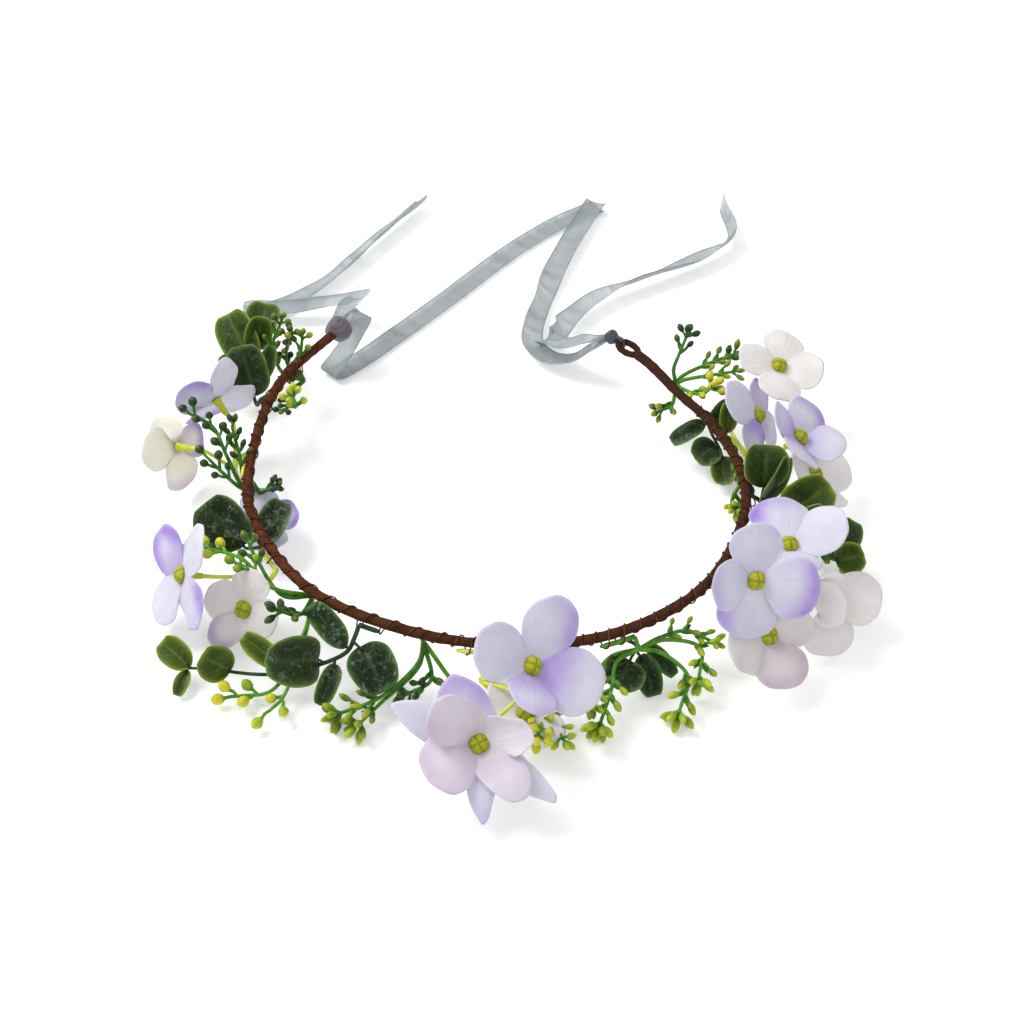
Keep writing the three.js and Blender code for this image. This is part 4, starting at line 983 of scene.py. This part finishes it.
def blossom(key, floret, petals, cloth, node, seed):
    """Four petals cut from one cloth, pressed to a dome, with soft uneven edges."""
    rng = np.random.default_rng(seed)
    at, front, x, y = floret_frame(floret)
    per, rows = 26, 17
    mean = sum(p[1] for p in petals) / 4
    pointed = key.endswith("_back")
    corner = (0.24 if pointed else 0.4) * mean * math.cos(math.pi / 4)
    t = np.linspace(-1, 1, per, endpoint=False)
    share = np.linspace(0, 1, rows) ** 0.9
    columns, marks = [], {"along": [], "across": [], "lilac": []}
    for i, (_, length, _, half_width, _, dye) in enumerate(petals):
        before, after = petals[i - 1], petals[(i + 1) % 4]
        wave = rng.uniform(0, 2 * np.pi, 4)
        size = max(half_width, corner * 1.03)
        for k, tk in enumerate(t):
            ex, ey = petal_edge(length, size, corner, tk, 0.45 if pointed else 0.0)
            ragged = 1 + 0.012 * math.sin(9 * tk + wave[0]) + 0.008 * math.sin(17 * tk + wave[1])
            if abs(tk) < 0.9:
                ex, ey = ex * ragged, ey * ragged
            bearing = math.atan2(ey, ex)
            hole_x, hole_y = BLOSSOM_HOLE * math.cos(bearing), BLOSSOM_HOLE * math.sin(bearing)
            px, py = hole_x + share * (ex - hole_x), hole_y + share * (ey - hole_y)
            join = float(smoothstep(0.72, 1.0, abs(tk)))
            other = before if tk < 0 else after
            blend = lambda n: (1 - join) * petals[i][n] + join * (petals[i][n] + other[n]) / 2
            lean, bow, turned_by = blend(TILT), blend(CURL), math.radians(blend(SWING))
            s, flat_x, rise = bowed(px, length, lean, bow)
            v = py / size
            free = smoothstep(0.0, 0.45, s)
            rise = rise - 1.1 * (v**2) * free * (1 if bow < 0 else -1.6)
            edge = smoothstep(0.7, 1.0, share)
            flutter = 0.38 * math.sin(4.2 * tk + wave[2]) + 0.22 * math.sin(9.5 * tk + wave[3])
            rise = rise + edge * free * flutter
            rise = rise + 0.10 * np.exp(-((v * 6) ** 2)) * free
            cs, sn = math.cos(i * math.pi / 2 + turned_by), math.sin(i * math.pi / 2 + turned_by)
            columns.append(np.stack([flat_x * cs - py * sn, flat_x * sn + py * cs, rise], 1))
            marks["along"].append(share)
            marks["across"].append(np.full(rows, i * 1.7 + bearing))
            marks["lilac"].append(dyed(dye, s, v))
    local = np.array(columns).transpose(1, 0, 2)
    for f in range(0, 4 * per, per):
        local[:, f] = (local[:, f - 1] + local[:, (f + 1) % (4 * per)]) / 4 + local[:, f] / 2
    middle = at + local[..., 0:1] * x + local[..., 1:2] * y + local[..., 2:3] * front
    b = Build("along", "across", "lilac")
    b.skin(middle, lattice_normals(middle, wrap=True), CLOTH, wrap=True,
           **{k: np.array(v).T for k, v in marks.items()})
    slot = next(r["material_slot"] for r in frame["record"]["subparts"] if r["node"] == node)
    return b.piece("cloth_" + key, [PETALS[cloth]], "blossom_" + key, slot, [node])


def stem_lip(key):
    """Height of the stem's lip on the floret's axis: under one layer of cloth or two."""
    return -(UNDER_PIP + (LAYER_STEP if key == SECOND_LAYER[0] else 0))


def pip(key, floret):
    """A four-part button with a cross groove and a rough, beady top, on its shaft."""
    rng = np.random.default_rng(sum(map(ord, key)))
    at, front, x, y = floret_frame(floret)
    around, rings = 56, 15
    a = round_angles(around)
    rho = np.linspace(0.02, 1, rings)
    lobes = 1 - 0.09 * np.abs(np.cos(2 * a)) ** 6
    grid_r = rho[:, None] * PIP_RADIUS * lobes[None]
    gx, gy = grid_r * np.cos(a), grid_r * np.sin(a)
    groove = np.exp(-((gx / 0.34) ** 2)) + np.exp(-((gy / 0.34) ** 2))
    groove = np.minimum(groove, 1) * smoothstep(0, 0.15, rho)[:, None]
    beads = 0.14 * np.sin(gx * 6.3 + 1.3 * np.sin(gy * 5)) * np.sin(gy * 6.1 + 1.1 * np.sin(gx * 4.7))
    height = PIP_HEIGHT * (1 - rho[:, None] ** 2.6) + beads + rng.normal(0, 0.035, gx.shape) - 0.38 * groove
    top = at + front * UNDER_PIP + gx[..., None] * x + gy[..., None] * y + height[..., None] * front
    low = at + front * UNDER_PIP + 0.78 * (gx[-1][:, None] * x + gy[-1][:, None] * y) - 0.05 * front
    b = Build("groove", "high")
    points = np.concatenate([top.reshape(-1, 3), low])
    # g darkens the colour in the groove and on the underside ring as painted shade.
    g = np.concatenate([groove.ravel(), np.ones(around)])
    # h is the height share used for the pip's painted light: paler high up, darker low down.
    h = np.concatenate([np.clip(height / PIP_HEIGHT, 0, 1).ravel(), np.zeros(around)])
    caps = [tuple(range(around)), tuple(rings * around + k for k in range(around))]
    b.add(points, grid_faces(rings + 1, around, wrap=True) + caps, groove=g, high=h)
    end = stem_lip(key) - SHAFT_DEPTH
    shaft = np.linspace(at + front * end, at + front * (UNDER_PIP + 0.4), 8)
    b.tube(shaft, SHAFT_RADIUS, 10, high=0.5)
    b.piece("button_" + key, [PIP], half_of(key), "pip", ["pip_" + key])


for number, (key, floret) in enumerate(FLORETS.items()):
    blossom(key, floret, floret[4], floret[3], "petals_" + key, 100 + number)
    pip(key, floret)

behind_key, behind_turn, behind_cloth, behind_petals = SECOND_LAYER
behind_of = FLORETS[behind_key]
behind_at = (np.array(behind_of[0], float) - direction(*behind_of[1]) * LAYER_STEP).tolist()
blossom(behind_key + "_back", (behind_at, behind_of[1], behind_turn), behind_petals, behind_cloth,
        "petals_" + behind_key + "_back", 140)


# ---- Stems ----
def between_turns(angle, seat):
    """The hoop angle nearest to angle where the binding wire leaves the seat free."""
    turn = WIRE_PITCH / MM_PER_DEGREE
    free = ((seat + 180) / 360) * turn
    return free + round((angle - free) / turn) * turn


def seat_stem(build, seat, bound, slot=0, **values):
    """A stem's length along the hoop. Returns where its shoots leave it."""
    start, wanted = (turned_angle(v) for v in bound)
    leave = between_turns(wanted, seat)
    shares = np.linspace(0, 1, 16)
    line = np.array([beside_hoop(start + (leave - start) * w, seat, STEM_SEAT) for w in shares])
    taper = STEM_RADIUS * np.minimum(1, 0.55 + 0.45 * np.linspace(0, 6, 16))
    build.tube(line, taper, 10, slot, **values)
    return line[-1], beside_hoop(leave, seat, STEM_SEAT + 4.5)


def hydrangea_stem(name, seat, bound, fork, arms):
    b = Build("cup")
    leave, clear = seat_stem(b, seat, bound)
    b.tube(smooth_line([leave, clear, fork]), 0.95, 10)
    for key, bends in arms.items():
        at, front, x, _ = floret_frame(FLORETS[key])
        lead = 1.5 if front[2] > 0.75 else 5
        into_cup = [at - front * (CUP_DEPTH + lead), at - front * (CUP_DEPTH - 0.5)]
        line = smooth_line([fork, *bends, *into_cup], 0.6)
        share = np.linspace(0, 1, len(line))
        b.tube(line, 0.72 + 0.16 * np.abs(1 - 2 * share) ** 3, 10, cup=smoothstep(0.8, 1, share) * 0.6)
        lip = stem_lip(key)
        outline = [(0.3, -CUP_DEPTH - 0.6), (1.0, -CUP_DEPTH), (1.25, -5.6), (1.32, -3.4), (1.5, -2.0),
                   (1.85, lip - 0.35), (1.75, lip), (0.98, lip), (0.95, lip - SOCKET_DEPTH),
                   (0.1, lip - SOCKET_DEPTH)]
        ribs = lambda a: 1 + 0.06 * np.cos(4 * a)
        b.lathe(at, front, outline, 20, shape=ribs, cup=1.0)
        spur = at - front * (CUP_DEPTH + 0.6)
        for hand in (-1, 1):
            way = unit(hand * x * 0.8 + front * 0.7)
            b.tube(np.array([spur + way * d for d in (0, 0.8, 1.6, 2.3)]), [0.5, 0.42, 0.3, 0.12], 6, cup=0.4)
    b.piece("stem_" + name, [STEM], half_of(name), "flower_stem", ["hydrangea_stem_" + name])


for name, (seat, bound, fork, arms) in STEMS.items():
    hydrangea_stem(name, seat, bound, np.array(fork, float), arms)


# ---- Eucalyptus ----
def leaf(build, foot, tip, width, faces, warm, frost, rng):
    """A round, cupped leaf with a rolled rim, a midrib and side veins."""
    foot, tip = np.array(foot, float), np.array(tip, float)
    along = unit(tip - foot)
    length = np.linalg.norm(tip - foot)
    across = unit(np.cross(along, direction(*faces)))
    front = np.cross(across, along)
    rows, columns = 23, 19
    u = (1 - np.cos(np.linspace(0.04, 0.965, rows) * np.pi)) / 2
    v = np.sin(np.linspace(-0.5, 0.5, columns) * np.pi)
    round_out = np.abs(2 * np.clip(u, 0, 1) - 1.06) / 1.06
    half = width / 2 * (1 - round_out**2.5) ** 0.5
    lean = rng.uniform(-0.5, 0.5)
    cup, bow = rng.uniform(0.10, 0.22), rng.uniform(0.05, 0.13)
    waves = rng.uniform(0, 2 * np.pi, 3)
    U, V = np.meshgrid(u, v, indexing="ij")
    H = np.broadcast_to(half[:, None], U.shape)
    side = V * H
    ragged = 1 + 0.02 * np.sin(7 * U + waves[0]) * np.abs(V) ** 4
    height = cup * np.abs(side) ** 1.35 * (12 / width) ** 0.35
    height = height - bow * length * (2 * U - 1) ** 2 + 0.25 * np.sin(6 * U + waves[1]) * V * np.abs(V)
    height = height - 0.28 * np.exp(-((side / 0.5) ** 2)) + lean * 0.1 * side
    flat = foot + (length * U)[..., None] * along + (side * ragged)[..., None] * across
    middle = flat + height[..., None] * front
    to_edge = np.minimum((1 - np.abs(V)) * H, (1 - U) * length * 0.9)
    rim = np.exp(-np.maximum(to_edge, 0) / 0.7)
    ribs = np.exp(-((side / 0.32) ** 2)) * smoothstep(1.0, 0.7, U)
    slanted = np.abs(np.sin((U * length - np.abs(side) * 0.8) * 1.25)) ** 14 * 0.5
    slanted = slanted * smoothstep(0.0, 0.2, np.abs(V))
    thick = LEAF_THICKNESS + 0.18 * np.exp(-((side / 0.7) ** 2)) + 0.12 * rim
    build.skin(middle, lattice_normals(middle), thick, rim=rim, warm=warm, frost=frost,
               vein=np.maximum(ribs, slanted))


def eucalyptus(name, seat, bound, stem, leaves):
    rng = np.random.default_rng(len(name) * 31 + len(leaves))
    b = Build("rim", "warm", "frost", "vein")
    leave, clear = seat_stem(b, seat, bound, slot=1)
    line = smooth_line([leave, clear, *stem], 0.7)
    b.tube(line, np.linspace(0.85, 0.5, len(line)), 10, slot=1)
    main = fine_line([clear, *stem])
    for foot, tip, width, faces, warm, frost in leaves:
        foot, tip = np.array(foot, float), np.array(tip, float)
        near = main[np.argmin(np.linalg.norm(main - foot, axis=1))]
        joint = foot + (tip - foot) * 0.1
        middle = (near + joint) / 2 + np.array([0, 0, -0.4])
        stalk = smooth_line([near, middle, joint], 0.5)
        b.tube(stalk, np.linspace(0.6, 0.42, len(stalk)), 8, slot=1)
        leaf(b, foot, tip, width, faces, warm, frost, rng)
    b.piece("spray_" + name, [LEAF, TWIG], half_of(name), "eucalyptus_leaf", ["eucalyptus_" + name])


for name, entry in EUCALYPTUS.items():
    eucalyptus(name, *entry)


# ---- Bud sprigs ----
def bud(build, root, heading, reach, ripe, size, long, rng):
    """A thin curved twig that swells into a shiny bud with a paler tip."""
    heading = unit(heading)
    end = root + heading * reach
    end[2] = max(end[2], size + 0.5)
    heading = unit(end - root)
    sag = np.cross(heading, unit(rng.normal(size=3))) * rng.uniform(0.2, 0.6)
    line = smooth_line([root, (root + end) / 2 + sag, end], 0.6)
    build.tube(line, np.linspace(0.58, 0.46 * size**0.5, len(line)), 8, bud=0.0, ripe=ripe, tip=0.0)
    h = np.array([0, 0.05, 0.14, 0.28, 0.45, 0.62, 0.78, 0.9, 0.97, 1.0])
    r = np.array([0.32, 0.42, 0.62, 0.86, 1.0, 0.97, 0.8, 0.52, 0.26, 0.08]) * size
    away = 2 * size * long
    low = end[2] + heading[2] * away * 0.6 - size
    if low < 0.4:
        heading = unit(heading + np.array([0, 0, (0.4 - low) / (away * 0.6)]))
    outline = list(zip(r, (h - 0.08) * away))
    build.lathe(end, heading, outline, 12, shape=lambda a: 1 + 0.07 * np.cos(3 * a + size * 9),
                bud=smoothstep(0.0, 0.25, h), ripe=ripe, tip=smoothstep(0.45, 1.0, h))


def leaflet(build, root, heading, ripe, rng):
    """A short pointed blade that grows beside a twig."""
    heading = unit(heading)
    across = unit(np.cross(heading, UP))
    front = np.cross(across, heading)
    long, wide = rng.uniform(3.6, 5.2), rng.uniform(0.75, 1.05)
    u = np.linspace(0, 1, 11)
    v = np.linspace(-1, 1, 7)
    half = wide * np.sin(np.pi * (0.08 + 0.9 * u) ** 0.8)
    lift = 0.25 * np.abs(v)[None] * half[:, None] + (0.6 * u**2)[:, None]
    middle = (root + (u * long)[:, None, None] * heading + (half[:, None] * v)[..., None] * across
              + lift[..., None] * front)
    middle[..., 2] = np.maximum(middle[..., 2], 0.5)
    build.skin(middle, lattice_normals(middle), LEAFLET_THICKNESS, bud=0.0, ripe=ripe, tip=0.0)


def sprig(name, seat, bound, shoots):
    rng = np.random.default_rng(sum(map(ord, name)) * 7)
    b = Build("bud", "ripe", "tip")
    leave, clear = seat_stem(b, seat, bound, ripe=shoots[0][3], bud=0.0)
    b.tube(smooth_line([leave, clear], 0.7), 0.8, 10, ripe=shoots[0][3])
    for way, pairs, at_tip, ripe, size, long in shoots:
        line = smooth_line([clear, *way], 0.7)
        b.tube(line, np.linspace(0.85, 0.6, len(line)), 9, ripe=ripe)
        t = tangents(line)
        gap = min(6.2, 0.68 * len(line) * 0.7 / (pairs + 1))
        for k in range(pairs):
            place = max(1, len(line) - 1 - int((k + 1) * gap / 0.7))
            side = unit(np.cross(t[place], UP))
            for hand in (-1, 1):
                place = max(1, place - (hand > 0) * int(gap * 0.45))
                heading = side * hand + t[place] * 1.1 + UP * rng.uniform(0.1, 0.7)
                b_ripe = float(np.clip(ripe + rng.uniform(-0.3, 0.1), 0, 1))
                reach = rng.uniform(2.2, 4.6)
                bud(b, line[place].copy(), heading, reach, b_ripe, size * rng.uniform(0.8, 0.98), long, rng)
                if size < 1.6:
                    heading = side * hand * rng.uniform(0.5, 1.2) + t[place]
                    leaflet(b, line[place].copy(), heading, ripe * 0.6, rng)
        aside = np.array([0, 1.0, 0]) if abs(t[-1][2]) > 0.9 else UP
        side = unit(np.cross(t[-1], aside))
        lift = np.cross(side, t[-1])
        for k in range(at_tip):
            a = 2 * math.pi * (k + rng.uniform(-0.2, 0.2)) / max(1, at_tip - 1)
            spread = 0.0 if k == at_tip - 1 else rng.uniform(0.8, 1.25)
            heading = t[-1] * 0.8 + spread * (side * math.cos(a) + lift * math.sin(a))
            b_ripe = float(np.clip(ripe + rng.uniform(-0.2, 0.1), 0, 1))
            reach = size * rng.uniform(1.5, 2.2)
            bud(b, line[-1].copy(), heading, reach, b_ripe, size * rng.uniform(0.88, 1.08), long, rng)
    b.piece("sprig_" + name, [SPRIG], half_of(name), "bud_sprig", ["bud_sprig_" + name])


for name, entry in SPRIGS.items():
    sprig(name, *entry)


# ---- Ribbons ----
KNOT_WEAVE = 0.004


def ribbon_tail(tail, rows, body, node, seed):
    """A sheer strip gathered into its knot, lightly cupped across and rippled along."""
    rng = np.random.default_rng(seed)
    rows = np.array(rows, float)
    t = np.linspace(0, len(rows) - 1, 40 * (len(rows) - 1) + 1)
    i = np.minimum(t.astype(int), len(rows) - 2)
    fine = np.hstack([catmull(rows[:, :3], i, t - i), catmull(direction(rows[:, 3], rows[:, 4]), i, t - i)])
    long = travelled(fine)[-1]
    line = spaced(fine, int(long / 0.9))
    at, across = line[:, :3], unit(line[:, 3:])
    along = tangents(at)
    face = unit(np.cross(along, across))
    across = np.cross(face, along)
    share = np.linspace(0, 1, len(line))
    gathered = np.minimum(1, 0.3 + 9 * share)
    columns = 19
    w = np.linspace(-1, 1, columns)
    waves = rng.uniform(0, 2 * np.pi, 3)
    run = share[:, None] * long
    ripple = 0.25 * np.sin(run / 9 + waves[0] + w * 1.2) + 0.15 * np.sin(run / 4 + w * 2.5)
    ripple = ripple * smoothstep(0.6, 3.0, at[:, 2])[:, None]
    pleats = (1 - smoothstep(0.3, 0.95, gathered))[:, None] * 0.9 * np.sin(w * 9)
    off = ripple + pleats
    bend = np.radians(CURL_DEGREES[tail]) * (0.35 + 0.65 * smoothstep(0.02, 0.1, share))[:, None]
    span = RIBBON_WIDTH / 2 * np.sin(w * bend) / bend * gathered[:, None]
    rise = RIBBON_WIDTH / 2 * (1 - np.cos(w * bend)) / bend * np.tanh(4 * face[:, 2:3]) * gathered[:, None]
    middle = at[:, None] + across[:, None] * span[..., None] + face[:, None] * (off + rise)[..., None]
    middle[..., 2] = np.maximum(middle[..., 2], LOWEST_RIBBON)
    edge = smoothstep(0.78, 0.94, np.abs(w))[None] * np.ones((len(line), 1))
    b = Build("edge", "run", "width")
    b.skin(middle, lattice_normals(middle), ORGANZA_THICKNESS, edge=edge,
           run=(share * long * MILLIMETRE)[:, None], width=(w * RIBBON_WIDTH / 2 * MILLIMETRE)[None])
    made = b.piece("ribbon_" + tail, [RIBBON], body, "ribbon", [node])
    return made, long * MILLIMETRE


def knot(build, centre, radii, seed, turns):
    """A pulled-tight ball of ribbon: wrapped folds over a lumpy round."""
    rng = np.random.default_rng(seed)
    rows, columns = 34, 44
    p = np.linspace(0.02, np.pi - 0.02, rows)[:, None]
    a = round_angles(columns)[None]
    lumps = 1 + 0.05 * np.sin(3 * a + 2 * p + rng.uniform(0, 6)) + 0.035 * np.cos(2 * a - 3 * p)
    folds = 1 + 0.10 * np.abs(np.sin(turns * (p + 0.35 * np.sin(a + 0.6)))) ** 0.7 - 0.04
    r = lumps * folds
    points = np.stack([radii[0] * r * np.sin(p) * np.cos(a), radii[1] * r * np.sin(p) * np.sin(a),
                       radii[2] * r * np.cos(p) * np.ones_like(a)], -1) + centre
    run, width = p * KNOT_WEAVE + 0 * a, 0 * p + a * KNOT_WEAVE
    build.add(points, capped_faces(rows, columns), edge=0.0, run=run.ravel(), width=width.ravel())


def ribbons():
    left_centre, _, _, _ = eye_frame("left")
    b = Build("edge", "run", "width")
    knot(b, left_centre, (5.2, 5.2, 4.6), 3, 5)
    left_knot = b.piece("ribbon_knot_left", [KNOT], "left_half", "ribbon", ["ribbon_left"])

    _, outward, _, tip = eye_frame("right")
    b = Build("edge", "run", "width")
    reach = EYE_TAPE + 0.9
    a = np.linspace(0, 2 * np.pi, 40)
    loop = tip + np.outer(reach * np.cos(a), outward) + np.outer(reach * np.sin(a), UP)
    b.tube(loop, 0.75 + 0.12 * np.sin(a * 4), 12)
    knot(b, tip + outward * 4.6, (2.9, 2.9, 2.6), 8, 4)
    right_knot = b.piece("ribbon_knot_right", [DARK_KNOT], "right_half", "ribbon", ["ribbon_right"])

    for side, tails, tied in (("left", LEFT_TAILS, left_knot), ("right", RIGHT_TAILS, right_knot)):
        for letter, rows, seed in zip("ab", tails, (21, 22)):
            made, long = ribbon_tail(f"{side}_{letter}", rows, side + "_half", "ribbon_" + side,
                                     seed + len(side))


ribbons()
